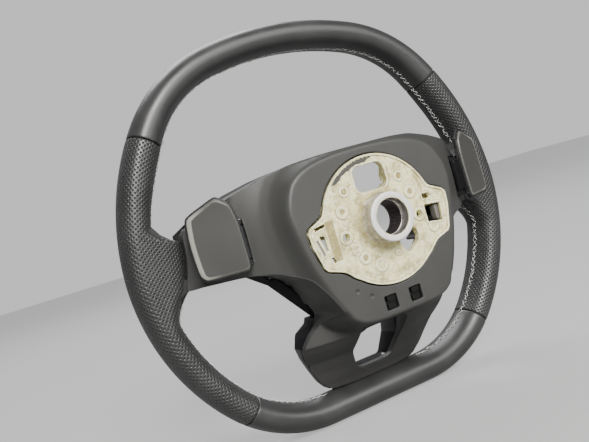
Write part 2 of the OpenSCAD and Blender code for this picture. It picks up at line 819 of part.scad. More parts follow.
// Everything inside the two flanks, which lean inward toward the front
module flanks(wall) {
    for_both()
        rotate([0, flank_angle, 0])
            translate([0, 0, -2 * spoke_end])
                linear_extrude(4 * spoke_end)
                    polygon([
                        [flank[0] - wall, rim_y + side_split[0][1]], [flank[1] - wall, front_y + flank_lift],
                        [flank[1] - wall, front_y - 1], [-2 * spoke_end, front_y - 1], [-2 * spoke_end, 1],
                        [flank[0] - wall, 1]
                    ]);
    translate([-spoke_end - 20, front_y - 1, flank_top + wall])
        cube([2 * spoke_end + 40, 2 - front_y, cover_top - flank_top + 5]);
}

// Everything behind the front face, which steps back below the side spokes
module behind_face(wall) {
    translate([-spoke_end - 30, 0, 0])
        rotate([90, 0, 90])
            linear_extrude(2 * spoke_end + 60)
                polygon([
                    [1, cover_top + 5], [front_y + wall, cover_top + 5], [front_y + wall, spoke_low - 2],
                    [front_y + flank_lift + wall, spoke_low - 15], [front_y + flank_lift + wall, trim_low - 5],
                    [1, trim_low - 5]
                ]);
}

module bag_outline() {
    offset(6, $fn = 32)
        offset(-6)
            polygon([
                [-bag_half + 12, bag_top], [bag_half - 12, bag_top], [bag_half, bag_top - 7], [bag_half, -1],
                [bag_half - 4, -16], [bag_half - 7.5, -28], [bag_half - 33, bag_low],
                [-bag_half + 33, bag_low], [-bag_half + 7.5, -28], [-bag_half + 4, -16], [-bag_half, -1],
                [-bag_half, bag_top - 7]
            ]);
}

module front_trim() {
    color([0.07, 0.07, 0.08]) hub_frame()
        difference() {
            intersection() {
                forward(0, -front_y) front_outline(0);
                front_region(split_gap);
                flanks(0);
                behind_face(0);
            }
            difference() {
                intersection() {
                    forward(1, 1 - front_y) front_outline(trim_wall);
                    flanks(trim_wall);
                    behind_face(trim_wall);
                }
                forward(front_y + bag_wall_d, bag_wall_d) offset(trim_wall) bag_outline();
                for (side = [-1, 1]) for (z = [-1, 1])
                    translate([side * switch_x, front_y + 4, switch_z + z * screw_z])
                        rotate([90, 0, 0]) cylinder(r = 3, h = 4, $fn = 32);
            }
            forward(front_y + flank_lift + trim_wall + 0.1, 60) bag_outline();
            for (side = [-1, 1]) {
                switch_place(side)
                    forward(20, 40) rounded_square(switch_w + 0.6, switch_h + 0.6, 5.3);
                for (z = [-1, 1])
                    translate([side * switch_x, front_y + 4.1, switch_z + z * screw_z])
                        rotate([90, 0, 0]) cylinder(r = screw_r, h = 3.2, $fn = 24);
            }
        }
}

module lower_outline(wall) {
    offset(-wall)
        intersection() {
            mirrored_polygon(cover_half(spoke_end));
            translate([-leg_half - 20, -leg_end - 10])
                square([2 * leg_half + 40, leg_end + 10 + trim_low - trim_joint]);
        }
}

// Everything behind the front face of the lower spoke, moved back by a wall
module lower_front(wall) {
    intersection() {
        translate([-leg_half - 20, 0, 0])
            rotate([90, 0, 90])
                linear_extrude(2 * leg_half + 40)
                    polygon(concat(
                        [for (p = low_front) [rim_y + p[1] + wall, -p[0]]],
                        [[10, -leg_end - 20], [10, -30]]
                    ));
        translate([0, 0, -leg_end - 10])
            linear_extrude(leg_end)
                mirrored_polygon(concat(
                    [[0, 10], [leg_half + 30, 10]],
                    [for (i = [len(cross_front) - 1 : -1 : 0]) [cross_front[i][0], rim_y + cross_front[i][1] + wall]]
                ));
    }
}

module lower_spoke_trim() {
    color([0.02, 0.02, 0.02]) hub_frame()
        difference() {
            intersection() {
                forward(0, -front_y) lower_outline(0);
                lower_front(0);
                front_region(split_gap);
            }
            difference() {
                intersection() {
                    forward(1, 1 - front_y) lower_outline(trim_wall);
                    lower_front(trim_wall);
                }
                forward(0, 120) offset(trim_wall) opening_outline();
            }
            forward(1, 120) opening_outline();
            low_arms(0.6);
        }
}

// Paddles, in the frame of their face: x outward along the face, y out of it

paddle_face_y = rim_y + paddle_depth;
hinge_x = 3;
hinge_y = -10;
barrel_r = 3.6;
barrel_low = 0;
base_low = barrel_low - 3.6;
base_high = barrel_low + hinge_len + 3.6;
base_depth = 22;
lever_back = -paddle_t - lever_t;

module paddle_frame(side) {
    mirrored(side)
        translate([paddle_x, paddle_face_y, 0])
            rotate([0, 0, -paddle_tilt])
                children();
}

function paddle_outline(edge, top, low, near) =
    let (w = paddle_w, z = paddle_low)
        [
            [near, z + 4], [2.2 + near, z + low], [w - 3.4 - edge / 2, z + 0.8 + low], [w - edge, z + 6],
            [w + 0.8 - edge, z + 28], [w - 1.6 - edge, z + paddle_side_h - top / 2],
            [12.8, z + paddle_peak_h - top], [3 + near, z + paddle_peak_h - 6.2 - top / 2], [near, z + 36]
        ];

module paddle_plate(side) {
    color([0.45, 0.45, 0.42]) hub_frame()
        paddle_frame(side)
            hull() {
                forward(-paddle_t + 0.9, 0.9) polygon(paddle_outline(0, 0, 0, 0));
                forward(0, 0.2) polygon(paddle_outline(paddle_bevel, 2.2, 1.4, 0.3));
            }
}

module paddle_lever(side) {
    color([0.05, 0.05, 0.05]) hub_frame()
        paddle_frame(side)
            difference() {
                union() {
                    forward(-paddle_t, lever_t) offset(0.7) polygon(paddle_outline(0, 0, 0, 0));
                    translate([-1.6, -9, barrel_low + 1]) cube([8, 9 - paddle_t - 0.2, hinge_len - 2]);
                    translate([hinge_x, hinge_y, barrel_low]) cylinder(r = barrel_r, h = hinge_len, $fn = 48);
                }
                translate([hinge_x, hinge_y, barrel_low - 1])
                    cylinder(r = hinge_r + hinge_clear, h = hinge_len + 2, $fn = 48);
                for (i = [0 : 16])
                    translate([-2, -7.5, barrel_low + 1.8 + i * 1.4]) cube([0.8, 4.6, 0.7]);
            }
}

module paddle_base(side) {
    color([0.06, 0.06, 0.06]) hub_frame()
        paddle_frame(side)
            difference() {
                union() {
                    translate([-3.8, -base_depth, base_low]) cube([25.6, 3, base_high - base_low]);
                    for (z = [base_low, base_high - 3.2])
                        translate([hinge_x - 4.2, -base_depth, z]) cube([8.4, base_depth + hinge_y + 4, 3.2]);
                }
                translate([hinge_x, hinge_y, base_low - 1])
                    cylinder(r = hinge_r, h = base_high - base_low + 2, $fn = 48);
            }
}

module hinge_pin(side) {
    color([0.7, 0.7, 0.7]) hub_frame()
        paddle_frame(side)
            translate([hinge_x, hinge_y, base_low])
                cylinder(r = hinge_r, h = base_high - base_low, $fn = 48);
}

// Coil from the base to just under the pulled lever
module return_spring(side) {
    x = 15;
    play = (x - hinge_x) * sin(paddle_swing) + 0.4;
    height = base_depth - 3 + lever_back - play - 2 * spring_wire;
    turns = 5;
    steps = 12 * turns;
    color([0.75, 0.75, 0.75]) hub_frame()
        paddle_frame(side)
            translate([x, -base_depth + 3 + spring_wire, barrel_low + 6])
                tube_along([
                    for (i = [0 : steps])
                        let (a = 30 * i)
                            [spring_r * cos(a), height * ease(i / steps), spring_r * sin(a)]
                ], spring_wire);
}

// A round wire through a list of points
module tube_along(points, r) {
    n = len(points);
    sides = 6;
    rings = [
        for (i = [0 : n - 1])
            let (t = unit(points[min(i + 1, n - 1)] - points[max(i - 1, 0)]), u = unit(cross(t, [0, 1, 0])))
                let (v = cross(t, u))
                    [for (k = [0 : sides - 1]) points[i] + r * (u * cos(360 * k / sides) + v * sin(360 * k / sides))]
    ];
    faces = concat(
        flat([for (i = [0 : n - 2]) flat([for (k = [0 : sides - 1])
            let (a = i * sides + k, b = i * sides + (k + 1) % sides)
                [[b, a, b + sides], [a, a + sides, b + sides]]])]),
        [[for (k = [0 : sides - 1]) k], [for (k = [sides - 1 : -1 : 0]) (n - 1) * sides + k]]
    );
    polyhedron(flat(rings), faces);
}

module microswitch(side) {
    x = 15;
    z = barrel_low + 14;
    play = (x - hinge_x) * sin(paddle_swing) + 0.4;
    color([0.12, 0.12, 0.13]) hub_frame()
        paddle_frame(side) {
            translate([x - 3.2, -base_depth + 3, z]) cube([6.4, 6.5, 9]);
            translate([x, -base_depth + 9, z + 4.5])
                rotate([-90, 0, 0]) cylinder(r = 1, h = base_depth - 9 + lever_back - play, $fn = 24);
        }
}

// Switch blocks of the side spokes

switch_z = side_arm_z + switch_rise;
screw_z = switch_h / 2 + 3.4;
screw_r = 1.25;
wall = 1.8;
flange = 0.7;
// Depths behind the front face of the trim
plate_back = 1.5;
flange_front = plate_back + 0.2;
stem_back = 4.5;
dome_front = stem_back + key_travel + 0.4;
mat_front = 7.2;
board_front = 8.4;

module switch_place(side) {
    translate([side * switch_x, front_y, switch_z]) children();
}

KEYS = ["up", "down", "inner", "outer"];
function key_spot(name, side) =
    name == "up" ? [0, key_rise] : name == "down" ? [0, -key_rise]
    : name == "inner" ? [-side * key_pitch, 0] : name == "outer" ? [side * key_pitch, 0] : [0, 0];

module key_outline(name, grow) {
    if (name == "centre") circle(key_r + grow, $fn = 48);
    else rounded_square(key_w + 2 * grow, key_h + 2 * grow, 2 + grow);
}

module switch_housing(side) {
    color([0.09, 0.09, 0.1]) hub_frame()
        switch_place(side)
            difference() {
                union() {
                    forward(switch_d, switch_d + 0.5) rounded_square(switch_w, switch_h, 5);
                    for (z = [-1, 1]) translate([-2.8, 4, z * (screw_z - 0.8) - 3.6]) cube([5.6, 2, 7.2]);
                }
                forward(switch_d + 1, switch_d + 1 - plate_back)
                    rounded_square(switch_w - 2 * wall, switch_h - 2 * wall, 4);
                for (name = concat(KEYS, ["centre"]))
                    translate([key_spot(name, side)[0], 0, key_spot(name, side)[1]])
                        forward(3, 5) key_outline(name, key_gap);
                for (z = [-1, 1])
                    translate([0, 8, z * screw_z]) rotate([90, 0, 0]) cylinder(r = screw_r, h = 6, $fn = 24);
            }
}

module switch_mat(side) {
    color([0.75, 0.75, 0.72]) hub_frame()
        switch_place(side) {
            forward(board_front, board_front - mat_front)
                rounded_square(switch_w - 2 * wall - 0.4, switch_h - 2 * wall - 0.4, 4);
            for (name = concat(KEYS, ["centre"]))
                translate([key_spot(name, side)[0], mat_front + 0.1, key_spot(name, side)[1]])
                    rotate([90, 0, 0]) cylinder(r = 2.6, h = mat_front + 0.1 - dome_front, $fn = 24);
        }
}

module switch_board(side) {
    color([0.1, 0.35, 0.2]) hub_frame()
        switch_place(side)
            forward(board_front + 1.6, 1.6)
                rounded_square(switch_w - 2 * wall - 0.4, switch_h - 2 * wall - 0.4, 4);
}

module switch_screws(side) {
    color([0.6, 0.6, 0.58]) hub_frame()
        switch_place(side)
            for (z = [-1, 1])
                translate([0, 0, z * screw_z]) {
                    translate([0, 7, 0]) rotate([90, 0, 0]) cylinder(r = screw_r, h = 5.5, $fn = 24);
                    difference() {
                        translate([0, 7.8, 0]) rotate([90, 0, 0]) cylinder(r = 2.4, h = 1.8, $fn = 32);
                        translate([-0.4, 7.1, -2]) cube([0.8, 2, 4]);
                        translate([-2, 7.1, -0.4]) cube([4, 2, 0.8]);
                    }
                }
}

module key_cap(name, side) {
    spot = key_spot(name, side);
    color([0.06, 0.06, 0.07]) hub_frame()
        switch_place(side)
            translate([spot[0], 0, spot[1]]) {
                forward(flange_front + 0.1, flange_front + 0.1 + 1.3) key_outline(name, 0);
                forward(flange_front + 1.2, 1.2) key_outline(name, flange);
                translate([0, stem_back, 0]) rotate([90, 0, 0]) cylinder(r = 2, h = 2, $fn = 24);
            }
}

armature();
splined_insert();
rim_foam();
leather_top();
leather_bottom();
leather_grip(-1);  // leather_grip_left
leather_grip(1);  // leather_grip_right
rear_cover();
cover_clip();
front_trim();
lower_spoke_trim();
paddle_plate(-1);  // paddle_plate_left
paddle_plate(1);  // paddle_plate_right
paddle_lever(-1);  // paddle_lever_left
paddle_lever(1);  // paddle_lever_right
paddle_base(-1);  // paddle_base_left
paddle_base(1);  // paddle_base_right
hinge_pin(-1);  // hinge_pin_left
hinge_pin(1);  // hinge_pin_right
return_spring(-1);  // return_spring_left
return_spring(1);  // return_spring_right
microswitch(-1);  // microswitch_left
microswitch(1);  // microswitch_right
switch_housing(-1);  // switch_housing_left
switch_housing(1);  // switch_housing_right
switch_mat(-1);  // switch_mat_left
switch_mat(1);  // switch_mat_right
switch_board(-1);  // switch_board_left
switch_board(1);  // switch_board_right
switch_screws(-1);  // switch_screws_left
switch_screws(1);  // switch_screws_right
key_cap("up", -1);  // key_up_left
key_cap("down", -1);  // key_down_left
key_cap("inner", -1);  // key_inner_left
key_cap("outer", -1);  // key_outer_left
key_cap("centre", -1);  // key_centre_left
key_cap("up", 1);  // key_up_right
key_cap("down", 1);  // key_down_right
key_cap("inner", 1);  // key_inner_right
key_cap("outer", 1);  // key_outer_right
key_cap("centre", 1);  // key_centre_right
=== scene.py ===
"""Looks of a flat-bottomed car steering wheel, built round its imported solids.

Sizes are in millimetres, in the frame of the hub: +X is the driver's right, +Y
points to the steering column, +Z is up, and y = 0 is the rear face of the hub
plate. `placed` moves them to the frame of the part, in metres. What is in metres
from the start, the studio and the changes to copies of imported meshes, says so.
"""

from __future__ import annotations

import json
import logging
import math
from dataclasses import dataclass, field
from enum import Enum
from typing import Callable, Sequence

import bmesh
import bpy
import numpy as np
from mathutils import Matrix, Vector

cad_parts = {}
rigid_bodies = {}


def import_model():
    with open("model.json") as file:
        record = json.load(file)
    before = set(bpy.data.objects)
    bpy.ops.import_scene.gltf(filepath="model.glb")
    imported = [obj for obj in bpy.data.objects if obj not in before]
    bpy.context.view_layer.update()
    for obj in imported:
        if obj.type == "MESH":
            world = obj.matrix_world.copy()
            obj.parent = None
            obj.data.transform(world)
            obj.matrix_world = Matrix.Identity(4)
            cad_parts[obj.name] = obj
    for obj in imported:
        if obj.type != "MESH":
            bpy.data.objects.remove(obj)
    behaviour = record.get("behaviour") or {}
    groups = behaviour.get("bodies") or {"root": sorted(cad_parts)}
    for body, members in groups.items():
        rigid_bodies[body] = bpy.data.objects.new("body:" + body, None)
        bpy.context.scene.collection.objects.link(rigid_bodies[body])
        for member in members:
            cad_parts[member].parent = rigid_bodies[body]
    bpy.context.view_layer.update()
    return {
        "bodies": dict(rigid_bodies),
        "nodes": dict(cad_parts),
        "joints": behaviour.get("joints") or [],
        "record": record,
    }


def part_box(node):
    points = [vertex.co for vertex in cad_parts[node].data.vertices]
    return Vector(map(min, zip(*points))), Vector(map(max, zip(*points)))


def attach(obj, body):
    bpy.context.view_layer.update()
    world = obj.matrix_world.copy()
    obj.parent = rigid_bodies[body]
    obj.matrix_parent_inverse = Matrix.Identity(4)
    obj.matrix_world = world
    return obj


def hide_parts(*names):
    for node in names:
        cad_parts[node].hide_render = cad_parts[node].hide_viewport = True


LOG = logging.getLogger("steering_wheel")

MM = 0.001
BOSS_HEIGHT = 16.5
RIM_Y = -86.0
PLATEAU_Y = -0.5
SLOPE_STEP = 0.05

Array = np.ndarray
Object = bpy.types.Object
Material = bpy.types.Material
Socket = bpy.types.NodeSocket
Pair = tuple[float, float]
Triple = tuple[float, float, float]
Loop = tuple[Pair, ...]
Measure = Callable[[Array, Array], Array]


# Meshes


def placed(points: Array) -> Array:
    """Turns hub-frame millimetres into part-frame metres.

    Args:
        points: an array whose last axis is x, y, z.

    Returns:
        The same points, shifted by the boss height and scaled.
    """
    return (np.asarray(points, float) + np.array([0.0, -BOSS_HEIGHT, 0.0])) * MM


def link_piece(name: str, data: bpy.types.ID) -> Object:
    """Makes an object of the data and puts it in the scene.

    Args:
        name: the object's name.
        data: its mesh, lamp or camera.

    Returns:
        The object.
    """
    piece = bpy.data.objects.new(name, data)
    bpy.context.scene.collection.objects.link(piece)
    return piece


def merged_copy(source: Object, name: str, gap: float, flat: float = 0.0) -> bpy.types.Mesh:
    """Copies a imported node's mesh with its doubled points merged.

    Args:
        source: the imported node.
        name: the copy's name.
        gap: the distance in metres within which points merge.
        flat: faces that meet at less than this angle in radians become one, unless it is 0.

    Returns:
        The copy.
    """
    mesh = source.data.copy()
    mesh.name = name
    work = bmesh.new()
    work.from_mesh(mesh)
    bmesh.ops.remove_doubles(work, verts=work.verts, dist=gap)
    if flat:
        bmesh.ops.dissolve_limit(work, angle_limit=flat, verts=work.verts, edges=work.edges)
    work.to_mesh(mesh)
    work.free()
    return mesh


def add_wall(piece: Object, thick: float) -> None:
    """Thickens a surface inwards.

    Args:
        piece: the surface.
        thick: the wall's thickness in millimetres.
    """
    wall = piece.modifiers.new("wall", "SOLIDIFY")
    wall.thickness = thick * MM
    wall.offset = -1


def store_share(piece: Object, name: str, values: Array) -> None:
    """Stores a number for each point of a piece, for its material to read."""
    layer = piece.data.attributes.new(name, "FLOAT", "POINT")
    layer.data.foreach_set("value", values.astype(np.float32).ravel())


def ring_at(loop: Array, y: float | Array) -> Array:
    """A flat loop of (x, z) points as points at y."""
    return np.stack([loop[:, 0], np.broadcast_to(y, len(loop)), loop[:, 1]], -1)


def make_mesh(
    name: str, points: Array, faces: Array, uv: Array | None = None, smooth: bool = True
) -> Object:
    """Makes an object from arrays of points and faces.

    Args:
        name: the piece's name.
        points: (n, 3) hub-frame millimetres.
        faces: (m, 3) or (m, 4) point numbers, anticlockwise from outside.
        uv: (n, 2) pattern coordinates, one for each point.
        smooth: whether the faces are shaded smooth.

    Returns:
        The new object, linked to the scene.
    """
    sides = faces.shape[1]
    mesh = bpy.data.meshes.new(name)
    mesh.vertices.add(len(points))
    mesh.vertices.foreach_set("co", placed(points).astype(np.float32).ravel())
    mesh.loops.add(faces.size)
    mesh.loops.foreach_set("vertex_index", faces.astype(np.int32).ravel())
    mesh.polygons.add(len(faces))
    mesh.polygons.foreach_set("loop_start", np.arange(0, faces.size, sides, dtype=np.int32))
    mesh.polygons.foreach_set("use_smooth", np.full(len(faces), smooth))
    if uv is not None:
        layer = mesh.uv_layers.new(name="pattern")
        layer.data.foreach_set("uv", uv[faces.ravel()].astype(np.float32).ravel())
    mesh.update(calc_edges=True)
    mesh.validate()
    return link_piece(name, mesh)


def grid_faces(rows: int, columns: int, close_rows: bool = False, close_columns: bool = False) -> Array:
    """Faces of a grid of points, numbered row by row.

    Args:
        rows: number of rows.
        columns: number of points in a row.
        close_rows: joins the last row to the first.
        close_columns: joins each row's last point to its first.

    Returns:
        (m, 4) point numbers.
    """
    i = np.arange(rows if close_rows else rows - 1)[:, None]
    j = np.arange(columns if close_columns else columns - 1)[None, :]
    below, beside = (i + 1) % rows, (j + 1) % columns
    quads = [i * columns + j, below * columns + j, below * columns + beside, i * columns + beside]
    return np.stack([np.broadcast_to(q, (i.size, j.size)) for q in quads], -1).reshape(-1, 4)


def stack_parts(parts: Sequence[tuple[Array, Array]]) -> tuple[Array, Array]:
    """Joins several meshes into one.

    Args:
        parts: (points, faces) pairs.

    Returns:
        All the points, and all the faces renumbered.
    """
    starts = np.cumsum([0] + [len(points) for points, _ in parts[:-1]])
    faces = [numbers + start for (_, numbers), start in zip(parts, starts)]
    return np.concatenate([points for points, _ in parts]), np.concatenate(faces)


def tube(paths: Array, radius: float | Array, sides: int = 6) -> tuple[Array, Array]:
    """Round threads along many paths at once: each point plus a circle across its path.

    Args:
        paths: (k, n, 3) points of k paths.
        radius: thread radius, one value or (n,) values along each path.
        sides: points round each ring.

    Returns:
        Points and faces of all the threads, with their ends drawn to a point.
    """
    k, n, _ = paths.shape
    along = np.gradient(paths, axis=1)
    along /= np.linalg.norm(along, axis=-1, keepdims=True) + 1e-12
    aside = np.cross(along, np.array([0.31, 0.83, 0.46]))
    aside /= np.linalg.norm(aside, axis=-1, keepdims=True) + 1e-12
    over = np.cross(along, aside)
    turn = np.linspace(0, 2 * np.pi, sides, endpoint=False)
    width = np.broadcast_to(np.asarray(radius, float), (n,)).copy()
    width[[0, -1]] *= 0.25
    ring = aside[:, :, None] * np.cos(turn)[:, None] + over[:, :, None] * np.sin(turn)[:, None]
    points = paths[:, :, None] + ring * width[None, :, None, None]
    faces = grid_faces(n, sides, close_columns=True)
    every = (faces[None] + (np.arange(k) * n * sides)[:, None, None]).reshape(-1, 4)
    return points.reshape(-1, 3), every[:, ::-1]


def ease(x: Array) -> Array:
    """Smooth step from 0 to 1: x squared times (3 - 2x), held at its ends."""
    x = np.clip(x, 0.0, 1.0)
    return x * x * (3 - 2 * x)


def soft_min(a: Array, b: Array, width: float) -> Array:
    """The lower of two values, rounded over width where they cross."""
    h = np.clip(0.5 + 0.5 * (b - a) / width, 0, 1)
    return b + (a - b) * h - width * h * (1 - h)


def soft_max(a: Array, b: Array, width: float) -> Array:
    """The higher of two values, rounded over width where they cross."""
    return -soft_min(-a, -b, width)


# Flat shapes by distance


def poly_distance(x: Array, z: Array, corners: Array) -> Array:
    """Signed distance to a closed polygon, below zero inside.

    The distance is the least over the sides of the distance to that side, and
    the sign comes from counting the sides that a ray towards +x crosses.

    Args:
        x: where, across.
        z: where, up.
        corners: the polygon's corners in order.

    Returns:
        The distance at each place.
    """
    a = np.asarray(corners, float)
    b = np.roll(a, -1, axis=0)
    d2 = np.full(x.shape, np.inf)
    crossings = np.zeros(x.shape, int)
    for (ax, az), (bx, bz) in zip(a, b):
        ex, ez = bx - ax, bz - az
        t = np.clip(((x - ax) * ex + (z - az) * ez) / (ex * ex + ez * ez + 1e-12), 0, 1)
        d2 = np.minimum(d2, (x - ax - t * ex) ** 2 + (z - az - t * ez) ** 2)
        if az != bz:
            crossings += ((az > z) != (bz > z)) & (x < (z - az) * ex / ez + ax)
    return np.where(crossings % 2 == 1, -1.0, 1.0) * np.sqrt(d2)


def circle_distance(x: Array, z: Array, cx: float, cz: float, r: float) -> Array:
    """Signed distance to a circle."""
    return np.hypot(x - cx, z - cz) - r


def box_distance(
    x: Array, z: Array, cx: float, cz: float, half_w: float, half_h: float, corner: float, turn: float = 0.0
) -> Array:
    """Signed distance to a rounded rectangle.

    It is the length of what reaches past the box drawn in by its corner radius,
    less that radius.

    Args:
        x: where, across.
        z: where, up.
        cx: the middle, across.
        cz: the middle, up.
        half_w: half the width.
        half_h: half the height.
        corner: the corners' radius.
        turn: the box's turn in degrees.

    Returns:
        The distance at each place.
    """
    c, s = math.cos(math.radians(turn)), math.sin(math.radians(turn))
    px, pz = (x - cx) * c + (z - cz) * s, -(x - cx) * s + (z - cz) * c
    qx, qz = np.abs(px) - half_w + corner, np.abs(pz) - half_h + corner
    return np.hypot(np.maximum(qx, 0), np.maximum(qz, 0)) + np.minimum(np.maximum(qx, qz), 0) - corner


def slot_distance(x: Array, z: Array, a: Pair, b: Pair, half: float, corner: float = 0.6) -> Array:
    """Signed distance to a straight slot.

    Args:
        x: where, across.
        z: where, up.
        a: one end.
        b: the other end.
        half: half the slot's width.
        corner: the corners' radius.

    Returns:
        The distance at each place.
    """
    length = math.dist(a, b)
    turn = math.degrees(math.atan2(b[1] - a[1], b[0] - a[0]))
    return box_distance(x, z, (a[0] + b[0]) / 2, (a[1] + b[1]) / 2, length / 2, half, corner, turn)


def rounded_loop(corners: Sequence[Pair], rounds: int = 3, keep: float = 0.25) -> Array:
    """Rounds a polygon by cutting each corner at a share of its sides, some times over.

    Args:
        corners: the polygon's corners.
        rounds: number of passes.
        keep: share of each side that a pass cuts off.

    Returns:
        (n, 2) points of the rounded loop.
    """
    loop = np.asarray(corners, float)
    for _ in range(rounds):
        following = np.roll(loop, -1, axis=0)
        cut = [loop * (1 - keep) + following * keep, loop * keep + following * (1 - keep)]
        loop = np.stack(cut, 1).reshape(-1, 2)
    return loop


def slope(outline: Measure, x: Array, z: Array) -> tuple[Array, Array]:
    """How steeply a signed distance rises along x and along z, by central differences.

    Args:
        outline: the signed distance.
        x: where, across.
        z: where, up.

    Returns:
        The rise along x and along z.
    """
    e = SLOPE_STEP
    along_x = (outline(x + e, z) - outline(x - e, z)) / (2 * e)
    return along_x, (outline(x, z + e) - outline(x, z - e)) / (2 * e)


def relief(
    outline: Measure,
    height: Measure,
    bounds: tuple[float, float, float, float],
    step: float,
    wall: Measure,
    lip: float = 0.5,
) -> tuple[Array, Array]:
    """A surface y = height(x, z) over a region, with walls dropped from its edges.

    The region is a grid of cells with at least one corner inside the outline.
    Corners outside it slide onto the outline along the steepest way of its
    signed distance, and each free edge gets a rounded lip and a wall.

    Args:
        outline: signed distance of the region, below zero inside.
        height: y of the surface.
        bounds: lowest and highest x, lowest and highest z.
        step: side of a grid cell.
        wall: y of the foot of the wall at a point.
        lip: width of the rounded lip.

    Returns:
        Points and faces.
    """
    xs = np.arange(bounds[0], bounds[1] + step, step)
    zs = np.arange(bounds[2], bounds[3] + step, step)
    x, z = np.meshgrid(xs, zs, indexing="ij")
    d = outline(x, z)
    inside = d < -0.25 * step
    cells = inside[:-1, :-1] | inside[1:, :-1] | inside[1:, 1:] | inside[:-1, 1:]
    quads = grid_faces(len(xs), len(zs))[cells.ravel()][:, ::-1]
    px, pz = x.ravel().copy(), z.ravel().copy()
    used = np.unique(quads)
    loose = used[~inside.ravel()[used]]
    for _ in range(4):
        ux, uz = px[loose], pz[loose]
        here = outline(ux, uz)
        gx, gz = slope(outline, ux, uz)
        size = gx * gx + gz * gz + 1e-6
        px[loose], pz[loose] = ux - here * gx / size, uz - here * gz / size
    py = height(px, pz)
    points = np.stack([px, py, pz], -1)
    edges = np.concatenate([quads[:, [k, (k + 1) % 4]] for k in range(4)])
    key = np.sort(edges, 1)
    _, index, count = np.unique(key[:, 0] * len(px) + key[:, 1], return_index=True, return_counts=True)
    rim = edges[index[count == 1]]
    rim_points, place = np.unique(rim, return_inverse=True)
    place = place.reshape(rim.shape)
    ux, uz = px[rim_points], pz[rim_points]
    gx, gz = slope(outline, ux, uz)
    size = np.hypot(gx, gz) + 1e-6
    gx, gz = gx / size, gz / size
    top = py[rim_points]
    foot = np.minimum(wall(ux, uz), top - lip - 0.05)
    rows = []
    for turn in (0.35, 0.7, 1.0):
        a = turn * np.pi / 2
        out, down = lip * math.sin(a), lip * (1 - math.cos(a))
        rows.append(np.stack([ux + gx * out, top - down, uz + gz * out], -1))
    rows.append(np.stack([ux + gx * lip, (top - lip) * 0.5 + foot * 0.5, uz + gz * lip], -1))
    rows.append(np.stack([ux + gx * lip, foot, uz + gz * lip], -1))
    n = len(rim_points)
    levels = [rim_points] + [len(px) + k * n + np.arange(n) for k in range(len(rows))]
    strips = [
        np.stack([upper[place[:, 1]], upper[place[:, 0]], lower[place[:, 0]], lower[place[:, 1]]], -1)
        for upper, lower in zip(levels[:-1], levels[1:])
    ]
    points = np.concatenate([points] + rows)
    faces = np.concatenate([quads] + strips)
    kept, faces = np.unique(faces, return_inverse=True)
    return points[kept], faces.reshape(-1, 4)


# Finishes


